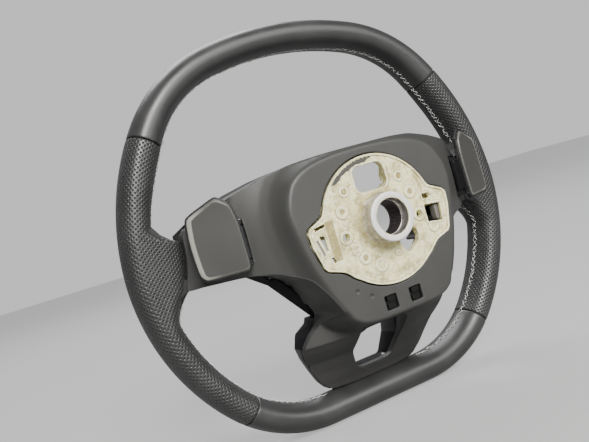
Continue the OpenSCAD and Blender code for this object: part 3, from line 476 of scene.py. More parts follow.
class Graph:
    """Builds a material's nodes with short calls."""

    def __init__(self, name: str) -> None:
        """Starts a material with one Principled shader.

        Args:
            name: the material's name.
        """
        self.material = bpy.data.materials.new(name)
        self.material.use_nodes = True
        self.tree = self.material.node_tree
        self.shader = self.tree.nodes["Principled BSDF"]

    def add(self, kind: str, inputs: dict | None = None, **settings: object) -> bpy.types.Node:
        """Adds a node.

        Args:
            kind: the node's class, without its ShaderNode part.
            inputs: values or sockets for its inputs, by name or number.
            settings: the node's own settings.

        Returns:
            The node.
        """
        node = self.tree.nodes.new("ShaderNode" + kind)
        for key, value in settings.items():
            setattr(node, key, value)
        for key, value in (inputs or {}).items():
            if isinstance(value, Socket):
                self.tree.links.new(value, node.inputs[key])
            else:
                node.inputs[key].default_value = value
        return node

    def math(self, operation: str, a: object, b: object = 0.0) -> Socket:
        """One step of arithmetic."""
        return self.add("Math", {0: a, 1: b}, operation=operation).outputs[0]

    def times(self, a: object, b: object) -> Socket:
        """The product of two values."""
        return self.math("MULTIPLY", a, b)

    def length(self, a: Socket, b: Socket) -> Socket:
        """The root of the sum of two squares."""
        return self.math("SQRT", self.math("ADD", self.times(a, a), self.times(b, b)))

    def blend(self, a: Socket, b: Socket, share: float) -> Socket:
        """A share of a and the rest of b."""
        return self.math("ADD", self.times(a, share), self.times(b, 1 - share))

    def step(self, value: object, low: float, high: float, a: float = 0.0, b: float = 1.0) -> Socket:
        """Value between low and high, mapped smoothly to a and b."""
        inputs = {"Value": value, "From Min": low, "From Max": high, "To Min": a, "To Max": b}
        return self.add("MapRange", inputs, interpolation_type="SMOOTHSTEP").outputs[0]

    def place(self, scale: float = 1.0) -> Socket:
        """Object coordinates in millimetres, divided by scale."""
        source = self.add("TexCoord").outputs["Object"]
        return self.add("VectorMath", {0: source, 3: 1.0 / MM / scale}, operation="SCALE").outputs[0]

    def noise(self, size: float, detail: float = 2.0, rough: float = 0.5) -> Socket:
        """Noise from 0 to 1 with features of size millimetres."""
        inputs = {"Vector": self.place(size), "Scale": 1.0, "Detail": detail, "Roughness": rough}
        return self.add("TexNoise", inputs).outputs[0]

    def cells(self, size: float) -> Socket:
        """Distance from the middles of soft-edged cells of size millimetres."""
        inputs = {"Vector": self.place(size), "Scale": 1.0}
        return self.add("TexVoronoi", inputs, feature="SMOOTH_F1").outputs["Distance"]

    def painted(self, name: str) -> Socket:
        """The piece's own attribute of that name."""
        return self.add("Attribute", attribute_name=name).outputs["Fac"]

    def mix(self, share: object, a: Sequence[float] | Socket, b: Sequence[float] | Socket) -> Socket:
        """Mixes two colours.

        Args:
            share: how much of b, from 0 to 1.
            a: the first colour.
            b: the second colour.

        Returns:
            The colour between them.
        """
        node = self.add("Mix", data_type="RGBA")
        for index, value in ((0, share), (6, a), (7, b)):
            if isinstance(value, Socket):
                self.tree.links.new(value, node.inputs[index])
            else:
                node.inputs[index].default_value = value if index == 0 else (*value[:3], 1.0)
        return node.outputs[2]

    def bump(self, height: Socket, depth: float, under: Socket | None = None) -> Socket:
        """Makes a normal from a height pattern.

        Args:
            height: the pattern, from 0 to 1.
            depth: what 1 stands for, in millimetres.
            under: the normal of the pattern below.

        Returns:
            The normal.
        """
        inputs = {"Height": height, "Distance": depth * MM, "Strength": 1.0}
        if under is not None:
            inputs["Normal"] = under
        return self.add("Bump", inputs).outputs[0]

    def finish(self, **sockets: object) -> Material:
        """Sets the shader's sockets.

        Args:
            sockets: values or sockets by the shader's names, with underscores for spaces.

        Returns:
            The material.
        """
        for key, value in sockets.items():
            target = self.shader.inputs[key.replace("_", " ")]
            if isinstance(value, Socket):
                self.tree.links.new(value, target)
            else:
                is_color = isinstance(value, tuple) and len(value) == 3
                target.default_value = (*value, 1.0) if is_color else value
        return self.material


@dataclass(frozen=True)
class Leather:
    """Black leather: fine creases between small cells, with a soft sheen.

    With `punched`, holes on a diamond lattice follow the piece's own pattern
    coordinates, which are millimetres along the rim and round its section.
    """

    name: str
    punched: bool = False
    color: Triple = (0.029, 0.029, 0.029)
    hole_color: Triple = (0.002, 0.002, 0.002)
    roughness: float = 0.40
    specular: float = 0.75
    crease: float = 0.9
    wear: float = 26.0
    pitch: float = 4.1
    hole_radius: float = 0.58

    def from_hole(self, g: Graph) -> Socket:
        """Distance from the nearest hole of the lattice.

        The lattice's own axes are the sum and the difference of the pattern
        coordinates, and each is taken from the middle of its cell.

        Args:
            g: the material's graph.

        Returns:
            The distance in millimetres.
        """
        split = g.add("SeparateXYZ", {0: g.add("UVMap", uv_map="pattern").outputs[0]})
        near = []
        for operation in ("ADD", "SUBTRACT"):
            axis = g.math(operation, split.outputs[0], split.outputs[1])
            share = g.math("FRACT", g.math("DIVIDE", axis, self.pitch))
            near.append(g.times(g.math("SUBTRACT", share, 0.5), self.pitch / math.sqrt(2)))
        return g.length(*near)

    def build(self) -> Material:
        """Makes the material.

        Returns:
            The material.
        """
        g = Graph(self.name)
        grain = g.cells(self.crease)
        worn = g.noise(self.wear, 3.0)
        light = tuple(c * 1.5 for c in self.color)
        color = g.mix(g.step(worn, 0.35, 0.75, 0.0, 0.7), self.color, light)
        rough = g.step(worn, 0.3, 0.8, self.roughness - 0.04, self.roughness + 0.06)
        normal = g.bump(grain, 0.05)
        if self.punched:
            away = self.from_hole(g)
            hole = g.step(away, self.hole_radius * 0.8, self.hole_radius * 1.25)
            dimple = g.step(away, self.hole_radius * 0.7, self.hole_radius * 2.1)
            color = g.mix(hole, self.hole_color, color)
            normal = g.bump(dimple, 0.30, g.bump(hole, 0.3, normal))
            rough = g.math("ADD", rough, g.times(g.math("SUBTRACT", 1.0, hole), 0.3))
        return g.finish(
            Base_Color=color, Roughness=rough, Normal=normal,
            Specular_IOR_Level=self.specular, Sheen_Weight=0.05, Sheen_Roughness=0.4,
        )


@dataclass(frozen=True)
class Moulded:
    """Moulded plastic with an eroded grain and faint polish marks.

    With `bevel`, that colour is mixed in as a painted highlight where the piece's own attribute of that name
    is set.
    """

    name: str
    color: Triple
    roughness: float
    grain: float = 0.55
    depth: float = 0.035
    speckle: float = 0.12
    # Colour of a painted highlight where the piece's bevel attribute is set.
    bevel: Triple | None = None
    specular: float = 0.5
    polish: float = 35.0

    def build(self) -> Material:
        """Makes the material.

        Returns:
            The material.
        """
        g = Graph(self.name)
        fine = g.noise(self.grain, 3.0, 0.6)
        broad = g.noise(self.polish, 3.0)
        dark = tuple(c * (1 - self.speckle) for c in self.color)
        pale = tuple(c * (1 + self.speckle) for c in self.color)
        color = g.mix(g.blend(fine, broad, 0.6), dark, pale)
        if self.bevel is not None:
            # Painted highlight on the bevel, broken up by the broad noise.
            bevel_highlight = g.times(g.painted("bevel"), g.step(broad, 0.2, 0.6, 0.75, 1.0))
            color = g.mix(bevel_highlight, color, self.bevel)
        rough = g.step(broad, 0.3, 0.75, self.roughness - 0.05, self.roughness + 0.05)
        normal = g.bump(fine, self.depth)
        return g.finish(Base_Color=color, Roughness=rough, Normal=normal, Specular_IOR_Level=self.specular)


@dataclass(frozen=True)
class Casting:
    """Raw die casting: pale oxide skin with tan flow stains and pits, and a few glints that are painted
    highlights.

    With `painted`, three attributes of the piece lie on top: crest, a painted highlight;
    dark, painted shadow; and a tan share, partly staining and partly painted shade in hollows.
    Without, the casting is painted black where it runs into the rim and its leather,
    as painted shade in the gaps round the leather's ends.
    """

    name: str
    skin: Triple = (0.93, 0.885, 0.50)
    # Tan of the flow stains and spots, also the colour of the painted shade in hollows and round the boss's
    # foot.
    stain_and_shade: Triple = (0.33, 0.265, 0.10)
    # Colour of the painted highlights: the glints and the crests.
    painted_highlight: Triple = (0.98, 0.96, 0.70)
    shadow: Triple = (0.07, 0.068, 0.06)
    # Black painted shade where the casting runs into the rim, beyond arm_end and below leg_end.
    gap_shade: Triple = (0.006, 0.006, 0.006)
    painted: bool = False
    flow_size: float = 9.0
    glint_size: float = 3.4
    spot_size: float = 1.7
    sand_size: float = 0.5
    arm_end: float = 118.0
    leg_end: float = -116.0

    def build(self) -> Material:
        """Makes the material.

        Returns:
            The material.
        """
        g = Graph(self.name)
        flow = g.noise(self.flow_size, 5.0, 0.62)
        spots = g.noise(self.spot_size, 4.0, 0.65)
        sand = g.noise(self.sand_size, 2.0)
        color = g.mix(g.step(flow, 0.42, 0.66, 0.0, 0.75), self.skin, self.stain_and_shade)
        color = g.mix(g.step(spots, 0.48, 0.7, 0.0, 0.55), color, self.stain_and_shade)
        # Painted highlights: pale glints scattered by noise.
        color = g.mix(g.step(g.noise(self.glint_size, 4.0), 0.52, 0.68, 0.0, 0.85), color, self.painted_highlight)
        if self.painted:
            # Painted layers from the piece's attributes: a painted highlight on crests, tan in hollows that
            # is partly staining and partly painted shade, and painted shadow.
            color = g.mix(g.painted("crest"), color, self.painted_highlight)
            color = g.mix(g.times(g.painted("stain_and_shade"), g.step(spots, 0.25, 0.6, 0.55, 1.0)), color, self.stain_and_shade)
            color = g.mix(g.painted("dark"), color, self.shadow)
        else:
            # Painted shade: black where the arms and legs run into the rim, for the dark gaps round the
            # leather's ends.
            split = g.add("SeparateXYZ", {0: g.place()})
            aside = g.step(g.math("ABSOLUTE", split.outputs[0]), self.arm_end, self.arm_end + 2.0)
            below = g.step(split.outputs[2], self.leg_end, self.leg_end - 3.0)
            color = g.mix(g.math("MAXIMUM", aside, below), color, self.gap_shade)
        normal = g.bump(spots, 0.5, g.bump(sand, 0.08))
        rough = g.step(flow, 0.3, 0.8, 0.42, 0.66)
        return g.finish(
            Base_Color=color, Roughness=rough, Normal=normal, Metallic=0.08, Specular_IOR_Level=0.35
        )


@dataclass(frozen=True)
class TurnedMetal:
    """Metal with fine marks from turning about the Y axis."""

    name: str
    color: Triple
    roughness: float = 0.35
    metallic: float = 0.85
    streaks: float = 0.15

    def build(self) -> Material:
        """Makes the material: noise over the distance from the axis and the depth, so it runs in rings.

        Returns:
            The material.
        """
        g = Graph(self.name)
        split = g.add("SeparateXYZ", {0: g.place()})
        radius = g.length(split.outputs[0], split.outputs[2])
        line = g.add("CombineXYZ", {0: radius, 1: split.outputs[1], 2: 0.0}).outputs[0]
        marks = g.add("TexNoise", {"Vector": line, "Scale": 3.0, "Detail": 3.0}).outputs[0]
        patch = g.noise(4.0, 4.0)
        dark = tuple(c * (1 - self.streaks * 2.2) for c in self.color)
        color = g.mix(g.step(g.blend(marks, patch, 0.5), 0.35, 0.65), dark, self.color)
        rough = g.step(patch, 0.3, 0.7, self.roughness - 0.06, self.roughness + 0.1)
        normal = g.bump(marks, 0.03)
        return g.finish(Base_Color=color, Roughness=rough, Normal=normal, Metallic=self.metallic)


@dataclass(frozen=True)
class Thread:
    """Sewing thread with a fuzzy surface."""

    name: str
    color: Triple
    fuzz_size: float = 0.35

    def build(self) -> Material:
        """Makes the material.

        Returns:
            The material.
        """
        g = Graph(self.name)
        fuzz = g.noise(self.fuzz_size, 2.0)
        color = g.mix(g.step(fuzz, 0.3, 0.7), tuple(c * 0.7 for c in self.color), self.color)
        return g.finish(Base_Color=color, Roughness=0.8, Normal=g.bump(fuzz, 0.06), Sheen_Weight=0.2)


class Finish(Enum):
    """Every finish of the wheel."""

    SMOOTH_LEATHER = Leather("smooth_black_leather")
    PUNCHED_LEATHER = Leather("perforated_black_leather", punched=True)
    COVER = Moulded("grained_grey_plastic", (0.048, 0.048, 0.0455), 0.46, grain=0.8, depth=0.07, speckle=0.25)
    SATIN = Moulded("satin_black_plastic", (0.014, 0.014, 0.015), 0.7, depth=0.02, specular=0.15)
    PLAIN = Moulded("plain_black_plastic", (0.010, 0.010, 0.011), 0.5)
    RIBS = Moulded("ribbed_black_plastic", (0.045, 0.045, 0.043), 0.3, depth=0.01)
    CLIP = Moulded("black_clip_plastic", (0.004, 0.004, 0.004), 0.3, depth=0.02, specular=0.4)
    GLOSS = Moulded("gloss_black_plastic", (0.006, 0.006, 0.007), 0.2, grain=18.0, depth=0.01)
    KEYS = Moulded("satin_key_plastic", (0.024, 0.024, 0.026), 0.38, depth=0.015)
    MARKS = Moulded("pale_key_print", (0.62, 0.62, 0.60), 0.5, depth=0.005)
    # The bevel colour is a painted highlight along the plate's bevel.
    PADDLE = Moulded(
        "satin_grey_lacquer", (0.054, 0.054, 0.050), 0.42, grain=0.8, depth=0.025, speckle=0.25,
        bevel=(0.36, 0.355, 0.31),
    )
    CAST = Casting("raw_pale_casting")
    FACE = Casting("pale_cast_face", painted=True)
    # The boss's side: the casting made darker as painted shade, with its glints as painted highlights.
    BOSS = Casting("shaded_boss_side_casting", (0.56, 0.52, 0.42), (0.22, 0.175, 0.11), (0.86, 0.84, 0.72))
    RECESS = Moulded("grey_core_block", (0.16, 0.15, 0.135), 0.6, grain=1.6, depth=0.1, speckle=0.3)
    FACED = TurnedMetal("faced_boss_ring", (0.88, 0.87, 0.84), 0.45, 0.2, 0.04)
    STEEL = TurnedMetal("serrated_steel", (0.20, 0.17, 0.17), 0.42, 0.8, 0.2)
    BORE = TurnedMetal("bored_casting", (0.50, 0.47, 0.44), 0.36, 0.8, 0.2)
    BRIGHT = TurnedMetal("bright_steel", (0.62, 0.62, 0.62), 0.28, 1.0, 0.1)
    FOAM = Moulded("foam_skin", (0.035, 0.035, 0.035), 0.8, grain=1.2, depth=0.1)
    SILICONE = Moulded("milky_silicone", (0.55, 0.55, 0.52), 0.45)
    BOARD = Moulded("green_board", (0.015, 0.09, 0.04), 0.35)
    THREAD = Thread("light_grey_thread", (0.70, 0.70, 0.68))


class Dresser:
    """Hands out each finish once and puts pieces on their bodies."""

    def __init__(self, frame: dict) -> None:
        """Keeps the loaded frame."""
        self.frame = frame
        self.made: dict[Finish, Material] = {}

    def material(self, finish: Finish) -> Material:
        """Gives the material of a finish, made the first time it is asked for.

        Args:
            finish: the finish.

        Returns:
            Its material.
        """
        if finish not in self.made:
            self.made[finish] = finish.value.build()
        return self.made[finish]

    def dress(
        self, piece: Object, finish: Finish, body: str, replaces: Sequence[str] = ()
    ) -> Object:
        """Gives a new piece its finish and its place in the assembly.

        Args:
            piece: the new piece.
            finish: its finish.
            body: the body it rides on.
            replaces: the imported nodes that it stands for.

        Returns:
            The piece.
        """
        piece.data.materials.clear()
        piece.data.materials.append(self.material(finish))
        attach(piece, body)
        if replaces:
            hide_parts(*replaces)
        LOG.info("%s: %d faces, rides on %s", piece.name, len(piece.data.polygons), body)
        return piece

    def node(self, name: str, finish: Finish) -> None:
        """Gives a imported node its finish.

        Args:
            name: the node.
            finish: the finish.
        """
        mesh = self.frame["nodes"][name].data
        mesh.materials.clear()
        mesh.materials.append(self.material(finish))


# Leather rim


@dataclass
class Rim:
    """The covered rim: five tangent arcs a side and a flat bottom, in four leather panels."""

    top: float = 182.0
    radii: tuple[float, ...] = (277.0, 125.0, 213.0, 182.0, 111.0)
    sweeps: tuple[float, ...] = (14.8, 40.2, 31.6, 46.0, 47.4)
    half_thick: float = 12.3
    half_depth: float = 18.5
    bulge: float = 2.6
    bulge_angle: float = 57.0
    seam_top: float = 51.8
    seam_low: float = 135.5
    leather: float = 1.4
    leather_end: float = 131.8
    end_curve: Loop = (
        (-60, 9.0), (-12.4, 8.7), (-8.3, 7.5), (1.2, 4.5), (9.4, 2.7), (18, 1.6), (32, 0.6), (60, 0.4),
    )
    spoke_top: float = 32.0
    spoke_low: float = -12.5
    spoke_depth: float = 17.0
    around: int = 96
    seam_gap: float = 0.45
    stitch_pitch: float = 5.4
    stitch_band: float = 2.3
    seam_lift: float = 2.0
    thread: float = 0.27
    foot_half: float = 44.0
    power: float = 0.9
    root_power: float = 0.55
    centres: list[Array] = field(default_factory=list)
    limits: list[float] = field(default_factory=list)

    def __post_init__(self) -> None:
        """Chains the arc centres, each on the line from the last one through their join."""
        point, turn = np.array([0.0, self.top]), 0.0
        for radius, sweep in zip(self.radii, self.sweeps):
            out = np.array([math.sin(math.radians(turn)), math.cos(math.radians(turn))])
            centre = point - radius * out
            turn += sweep
            out = np.array([math.sin(math.radians(turn)), math.cos(math.radians(turn))])
            point = centre + radius * out
            middle = centre + (radius - self.half_thick) * out
            self.centres.append(centre)
            self.limits.append(math.degrees(math.atan2(middle[0], middle[1])))
        self.flat_z = self.centres[4][1] - self.radii[4] + self.half_thick

    def line(self, angle: Array) -> tuple[Array, Array]:
        """Middle point and outward direction of the rim at angles from twelve o'clock.

        Each angle's ray from the axis is cut with the arc that it meets.

        Args:
            angle: degrees from twelve o'clock.

        Returns:
            The (x, z) points and the unit directions.
        """
        w = np.mod(angle, 360.0)
        side = np.where(w > 180, -1.0, 1.0)
        h = np.where(w > 180, 360 - w, w)
        ray = np.stack([np.sin(np.radians(h)), np.cos(np.radians(h))], -1)
        arc = np.searchsorted(np.array(self.limits), h, side="right")
        centre = np.array(self.centres)[np.minimum(arc, 4)]
        r = np.array(self.radii)[np.minimum(arc, 4)] - self.half_thick
        b = np.sum(ray * centre, -1)
        reach = b + np.sqrt(np.maximum(b * b - np.sum(centre**2, -1) + r * r, 0))
        point = ray * reach[..., None]
        out = (point - centre) / r[..., None]
        flat = arc >= 5
        reach = self.flat_z / np.where(flat, ray[..., 1], -1.0)
        point = np.where(flat[..., None], ray * reach[..., None], point)
        out = np.where(flat[..., None], np.array([0.0, -1.0]), out)
        flip = np.stack([side, np.ones_like(side)], -1)
        return point * flip, out * flip

    def root_share(self, z: Array) -> Array:
        """How far the grip has turned into the spoke root at a height, from 0 to 1.

        It rises over the 27.5 mm below the spoke's lower edge and falls again over
        12 mm at its upper edge.
        """
        low = np.clip((z - self.spoke_low + 27.5) / 27.5, 0, 1) ** 1.3
        return low * np.clip((self.spoke_top + 11.5 - z) / 12, 0, 1) ** 1.5

    def section(self, angle: Array, turn: Array, inset: Array | float, root: bool) -> Array:
        """Points of the rim's surface.

        A section is a flattened oval: cos and sin of the turn, raised to a power
        below 1, which is lower still at a spoke root. It is drawn inward at the
        thumb rests and, at a spoke root, as far as the leather's end.

        Args:
            angle: degrees from twelve o'clock.
            turn: degrees round the section, 0 at the outer side and 90 towards the column.
            inset: depth below the outer surface.
            root: whether the spoke roots are drawn.

        Returns:
            Points, one for each angle and turn.
        """
        w = np.where(angle > 180, angle - 360, angle)
        p, n = self.line(angle)
        share = self.root_share(p[..., 1]) if root else np.zeros_like(w)
        rear = ease(np.sin(np.radians(turn)) * 3.0)
        curve = np.asarray(self.end_curve)
        end = self.leather_end + rear * np.interp(p[..., 1], curve[:, 0], curve[:, 1])
        reach = np.abs(p[..., 0]) - end - inset
        inner = self.half_thick + self.bulge * np.exp(-(((np.abs(w) - self.bulge_angle) / 13) ** 2)) - inset
        inner = inner + share * np.maximum(0, reach - inner)
        c, s = np.cos(np.radians(turn)), np.sin(np.radians(turn))
        e = np.where(c > 0, self.power, self.power - self.root_power * share)
        x = np.sign(c) * np.abs(c) ** e * np.where(c > 0, self.half_thick - inset, inner)
        depth = self.half_depth - inset
        depth = np.where(c > 0, depth, depth - share * (self.half_depth - self.spoke_depth))
        y = np.sign(s) * np.abs(s) ** e * depth
        q = p + n * x[..., None]
        qx = np.where(share > 0.5, np.sign(q[..., 0]) * np.maximum(np.abs(q[..., 0]), end + inset), q[..., 0])
        return np.stack([qx, RIM_Y + y, q[..., 1]], -1)

    def panel(self, name: str, start: float, stop: float, rows: int, root: bool) -> Object:
        """A leather panel from one seam to the next, its ends turned down into the seams.

        Args:
            name: the piece's name.
            start: angle of its first seam.
            stop: angle of its last seam.
            rows: rows of points between its ends.
            root: whether the spoke roots are drawn.

        Returns:
            The panel.
        """
        length = self.run(start, stop)
        ends = np.array([0.0, 0.25, 0.6, 1.1]) / length
        share = np.concatenate([ends, np.linspace(1.8 / length, 1 - 1.8 / length, rows), 1 - ends[::-1]])
        near = np.minimum(share, 1 - share) * length
        angle = start + (stop - start) * (share + (0.5 - share) * 2 * self.seam_gap / length)
        sink = 0.9 * (1 - np.sqrt(np.clip(1 - (1 - np.clip(near / 1.1, 0, 1)) ** 2, 0, 1)))
        turn = np.linspace(0, 360, self.around, endpoint=False)
        a, t = np.meshgrid(angle, turn, indexing="ij")
        points = self.section(a, t, np.broadcast_to(sink[:, None], a.shape), root)
        under = np.full((1, self.around), self.leather)
        tucked = [self.section(a[[k]], t[[k]], under, root) for k in (0, -1)]
        points = np.concatenate([tucked[0], points, tucked[1]])
        size = points.shape
        step = np.linalg.norm(np.diff(points, axis=0), axis=-1)[:, 0]
        along = np.concatenate([[0], np.cumsum(step)])
        ring = np.concatenate([points, points[:, :1]], 1)
        sides = np.linalg.norm(np.diff(ring, axis=1), axis=-1)
        round_it = np.concatenate([np.zeros((size[0], 1)), np.cumsum(sides, 1)], 1)
        middle = round_it[:, [self.around // 4]]
        uv = np.stack([np.broadcast_to(along[:, None], round_it.shape), round_it - middle], -1).reshape(-1, 2)
        return make_mesh(name, ring.reshape(-1, 3), grid_faces(size[0], self.around + 1), uv)

    def run(self, start: float, stop: float) -> float:
        """Length of the rim's middle line between two angles."""
        p, _ = self.line(np.linspace(start, stop, 400))
        return float(np.linalg.norm(np.diff(p, axis=0), axis=-1).sum())

    def inner_edge(self, start: float, stop: float, band: float, pitch: float) -> Array:
        """Evenly spaced points beside the innermost line of the rim.

        The turn round the section is the one whose sine, raised to the section's
        power, gives a depth of band millimetres.

        Args:
            start: first angle.
            stop: last angle.
            band: distance from the innermost line, towards the column if above zero.
            pitch: spacing in millimetres.

        Returns:
            (n, 3) points.
        """
        angle = np.linspace(start, stop, 4000)
        p, _ = self.line(angle)
        share = self.root_share(p[..., 1])
        depth = self.half_depth - share * (self.half_depth - self.spoke_depth)
        power = self.power - self.root_power * share
        turn = np.degrees(np.arcsin((abs(band) / depth) ** (1 / power)))
        points = self.section(angle, 180.0 - np.sign(band) * turn, 0.0, True)
        along = np.concatenate([[0], np.cumsum(np.linalg.norm(np.diff(points, axis=0), axis=-1))])
        at = np.arange(pitch / 2, along[-1], pitch)
        return np.stack([np.interp(at, along, points[:, k]) for k in range(3)], -1)

    def stitches(self, start: float, stop: float, seed: int) -> tuple[Array, Array]:
        """Crossed stitches over the seam along the inner side of the rim.

        Each thread leaves a hole on one lip of the seam, arches over it and enters
        the next hole on the other lip: a half sine between two points, which are
        shifted a little by seeded chance, as hand sewing is.

        Args:
            start: first angle.
            stop: last angle.
            seed: the seed of the chance.

        Returns:
            Points and faces of all threads.
        """
        chance = np.random.default_rng(seed)
        left = self.inner_edge(start, stop, self.seam_lift + self.stitch_band, self.stitch_pitch)
        right = self.inner_edge(start, stop, self.seam_lift - self.stitch_band, self.stitch_pitch)
        count = min(len(left), len(right)) - 1
        inward = -(left[:count] + right[:count]) / 2
        inward[:, 1] = 0
        inward /= np.linalg.norm(inward, axis=-1, keepdims=True)
        share = np.linspace(0, 1, 9)
        rise = 0.45 + 0.65 * chance.random(count)
        arch = np.sin(np.pi * share)[None, :, None] ** 0.7 * rise[:, None, None] - 0.15
        out = []
        for a, b in ((left, right), (right, left)):
            shift = chance.normal(0.0, 0.38, (2, count, 3))
            first, last = a[:count] + shift[0], b[1 : count + 1] + shift[1]
            straight = first[:, None] + (last - first)[:, None] * share[None, :, None]
            out.append(straight + inward[:, None] * arch)
        return tube(np.concatenate(out), self.thread)

    def build(self, dresser: Dresser) -> None:
        """Makes the four panels and the stitching, and gives the foam its finish.

        Args:
            dresser: gives the finishes.
        """
        top = self.panel("leather_top_skin", -self.seam_top, self.seam_top, 200, False)
        dresser.dress(top, Finish.SMOOTH_LEATHER, "wheel", ["leather_top"])
        low = self.panel("leather_bottom_skin", self.seam_low, 360 - self.seam_low, 120, False)
        dresser.dress(low, Finish.SMOOTH_LEATHER, "wheel", ["leather_bottom"])
        right = ("right", self.seam_top, self.seam_low)
        left = ("left", 360 - self.seam_low, 360 - self.seam_top)
        for side, start, stop in (right, left):
            grip = self.panel(f"leather_grip_{side}_skin", start, stop, 260, True)
            node = f"leather_grip_{side}"
            dresser.dress(grip, Finish.PUNCHED_LEATHER, "wheel", [node])
        runs = [self.stitches(start, stop, seed) for seed, (start, stop) in enumerate(self.stitched())]
        threads = make_mesh("cross_stitching", *stack_parts(runs))
        dresser.dress(threads, Finish.THREAD, "wheel")
        dresser.node("rim_foam", Finish.FOAM)

    def stitched(self) -> list[Pair]:
        """Angles between which the inner seam is sewn: all but the spoke roots and the lower spoke.

        Returns:
            Pairs of angles.
        """
        angle = np.linspace(40, 140, 4000)
        p, _ = self.line(angle)
        upper = float(angle[np.argmax(p[:, 1] < self.spoke_top + 2.0)])
        lower = float(angle[np.argmax(p[:, 1] < self.spoke_low - 7)])
        angle = np.linspace(140, 180, 2000)
        q, _ = self.line(angle)
        last = float(angle[np.argmax(q[:, 0] < self.foot_half)])
        return [(-upper, upper), (lower, last), (360 - last, 360 - lower)]


# Hub casting


@dataclass
class HubCasting:
    """The die casting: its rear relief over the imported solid, and the turned boss.

    A pad is its middle, radius and height, and a pit its middle, radius and depth.
    A slot is its two ends and half its width. The upper window and the channel are
    each a middle, half width, half height and corner radius, and the hole is the
    middle and radius of the one on the driver's right. The crescent is its first
    and last angle from twelve o'clock in degrees, and its width. The levels of the
    block are how far each ring is drawn in and its y. `sink` is in metres.
    """

    plate_r: float = 49.7
    wall: float = 0.9
    wall_width: float = 1.15
    boss_r: float = 18.55
    fillet: float = 8.2
    bore_r: float = 13.85
    bore_end: float = 7.0
    step: float = 0.4
    lip: float = 0.25
    sink: float = 0.00025
    flange_y: float = -6.3
    ear: Loop = (
        (38, 20), (47, 14.5), (60.5, 8.5), (63, 5), (62.3, -5), (57.8, -22), (55.5, -25), (42, -29.4),
        (32, -38), (18, -30),
    )
    slots: tuple[tuple[Pair, Pair, float], ...] = (
        ((47.9, 8.0), (57.0, 6.5), 1.25),
        ((57.6, -1.0), (54.5, -13.6), 1.1),
        ((49.3, -16.2), (47.4, -20.6), 1.2),
    )
    windows: tuple[Loop, ...] = (
        ((50.6, 0.6), (54.9, 1.2), (52.2, -10.4), (50.3, -11.0)),
        ((-40.2, -0.2), (-55.0, -1.6), (-53.4, -15.6), (-40.2, -13.8)),
        ((-40.8, 8.7), (-47.0, 7.9), (-46.3, 4.1), (-40.8, 4.6)),
    )
    bounds: tuple[float, ...] = (-66, 66, -52, 52)
    clear_r: float = 19.2
    flange_foot: float = 1.2
    flange_wall: float = 0.6
    flange_step: float = 0.8
    block_loop: Loop = ((-56.3, -15), (-50.9, -15), (-50.9, -2), (-56.3, -2))
    block_levels: Loop = ((0.0, -9.0), (0.0, -3.6), (0.25, -3.1), (0.6, -2.9))
    block_slant: float = 0.15
    block_x: float = 53.0
    kidney: Loop = (
        (-9, -18), (-11, -24), (-13.4, -29.6), (-15.6, -30.8), (-18.6, -30.4), (-23, -27.6), (-27.2, -24),
        (-28.6, -20.4), (-27.4, -15.9), (-25, -13.2), (-17, -10),
    )
    upper_window: tuple[float, ...] = (0, 32.6, 14, 10, 5.5)
    hole: Triple = (33.7, -5.7, 3.0)
    channel_box: tuple[float, ...] = (44.3, -5, 3.4, 14.9, 0.5)
    crescent: Triple = (-14, 52, 4.2)
    rib: Loop = ((-48.1, 8.2), (-44.9, 6.0), (-43.1, 2.5), (-43.0, -0.7))
    pads: tuple[tuple[float, float, float, float], ...] = (
        (33.7, -5.7, 5.0, 0.9), (-33.7, -5.7, 5.0, 0.9), (31, 13.1, 5.0, 0.9), (-31, 13.1, 5.0, 0.9),
        (25, 27.2, 3.8, 0.7), (-25, 27.2, 3.8, 0.7), (22.8, -24.4, 4.6, 0.8), (11, -33, 5.0, 0.6),
        (-5.6, -28.3, 2.0, 0.6), (-44, -18, 4.5, 0.8),
        (33.2, 3.4, 3.4, 0.35), (27.4, -16.5, 4.2, 0.45), (2, -38, 3.4, 0.3),
    )
    pits: tuple[tuple[float, float, float, float], ...] = (
        (25, 27.2, 2.3, 2.4), (-25, 27.2, 2.3, 2.4), (31, 13.1, 2.0, 2.4), (-31, 13.1, 2.0, 2.4),
        (22.8, -24.4, 2.0, 2.2), (11, -33, 3.4, 0.4), (-44, -18, 2.6, 0.7),
    )

    def plate(self, x: Array, z: Array) -> Array:
        """Signed distance of the plate: a disc joined softly to its two ears.

        Args:
            x: where, across.
            z: where, up.

        Returns:
            The distance at each place.
        """
        loop = rounded_loop(self.ear, 2, 0.2)
        disc = circle_distance(x, z, 0, 0, self.plate_r)
        return soft_min(disc, poly_distance(np.abs(x), z, loop), 3.0)

    def openings(self, x: Array, z: Array) -> Array:
        """Signed distance of everything that is cut through the plate.

        Args:
            x: where, across.
            z: where, up.

        Returns:
            The distance at each place.
        """
        cuts = [box_distance(x, z, *self.upper_window)]
        cuts += [slot_distance(x, z, start, end, half) for start, end, half in self.slots]
        cuts += [poly_distance(x, z, np.array(corners)) for corners in self.windows]
        across, up, radius = self.hole
        cuts += [circle_distance(x, z, side * across, up, radius) for side in (1, -1)]
        kidney = poly_distance(x, z, rounded_loop(self.kidney, 1, 0.12))
        cuts.append(soft_max(kidney, -circle_distance(x, z, 0, 0, 21), 0.6))
        return np.minimum.reduce(cuts)

    def outline(self, x: Array, z: Array) -> Array:
        """The relief's region: the plate, without its openings and the boss."""
        d = np.maximum(self.plate(x, z) + self.lip - 0.05, self.lip - 0.03 - self.openings(x, z))
        return np.maximum(d, -circle_distance(x, z, 0, 0, self.clear_r))

    @staticmethod
    def pad(x: Array, z: Array, cx: float, cz: float, r: float, height: float) -> Array:
        """A low round pad with soft sides."""
        return height * ease((r + 0.45 - np.hypot(x - cx, z - cz)) / 0.5)

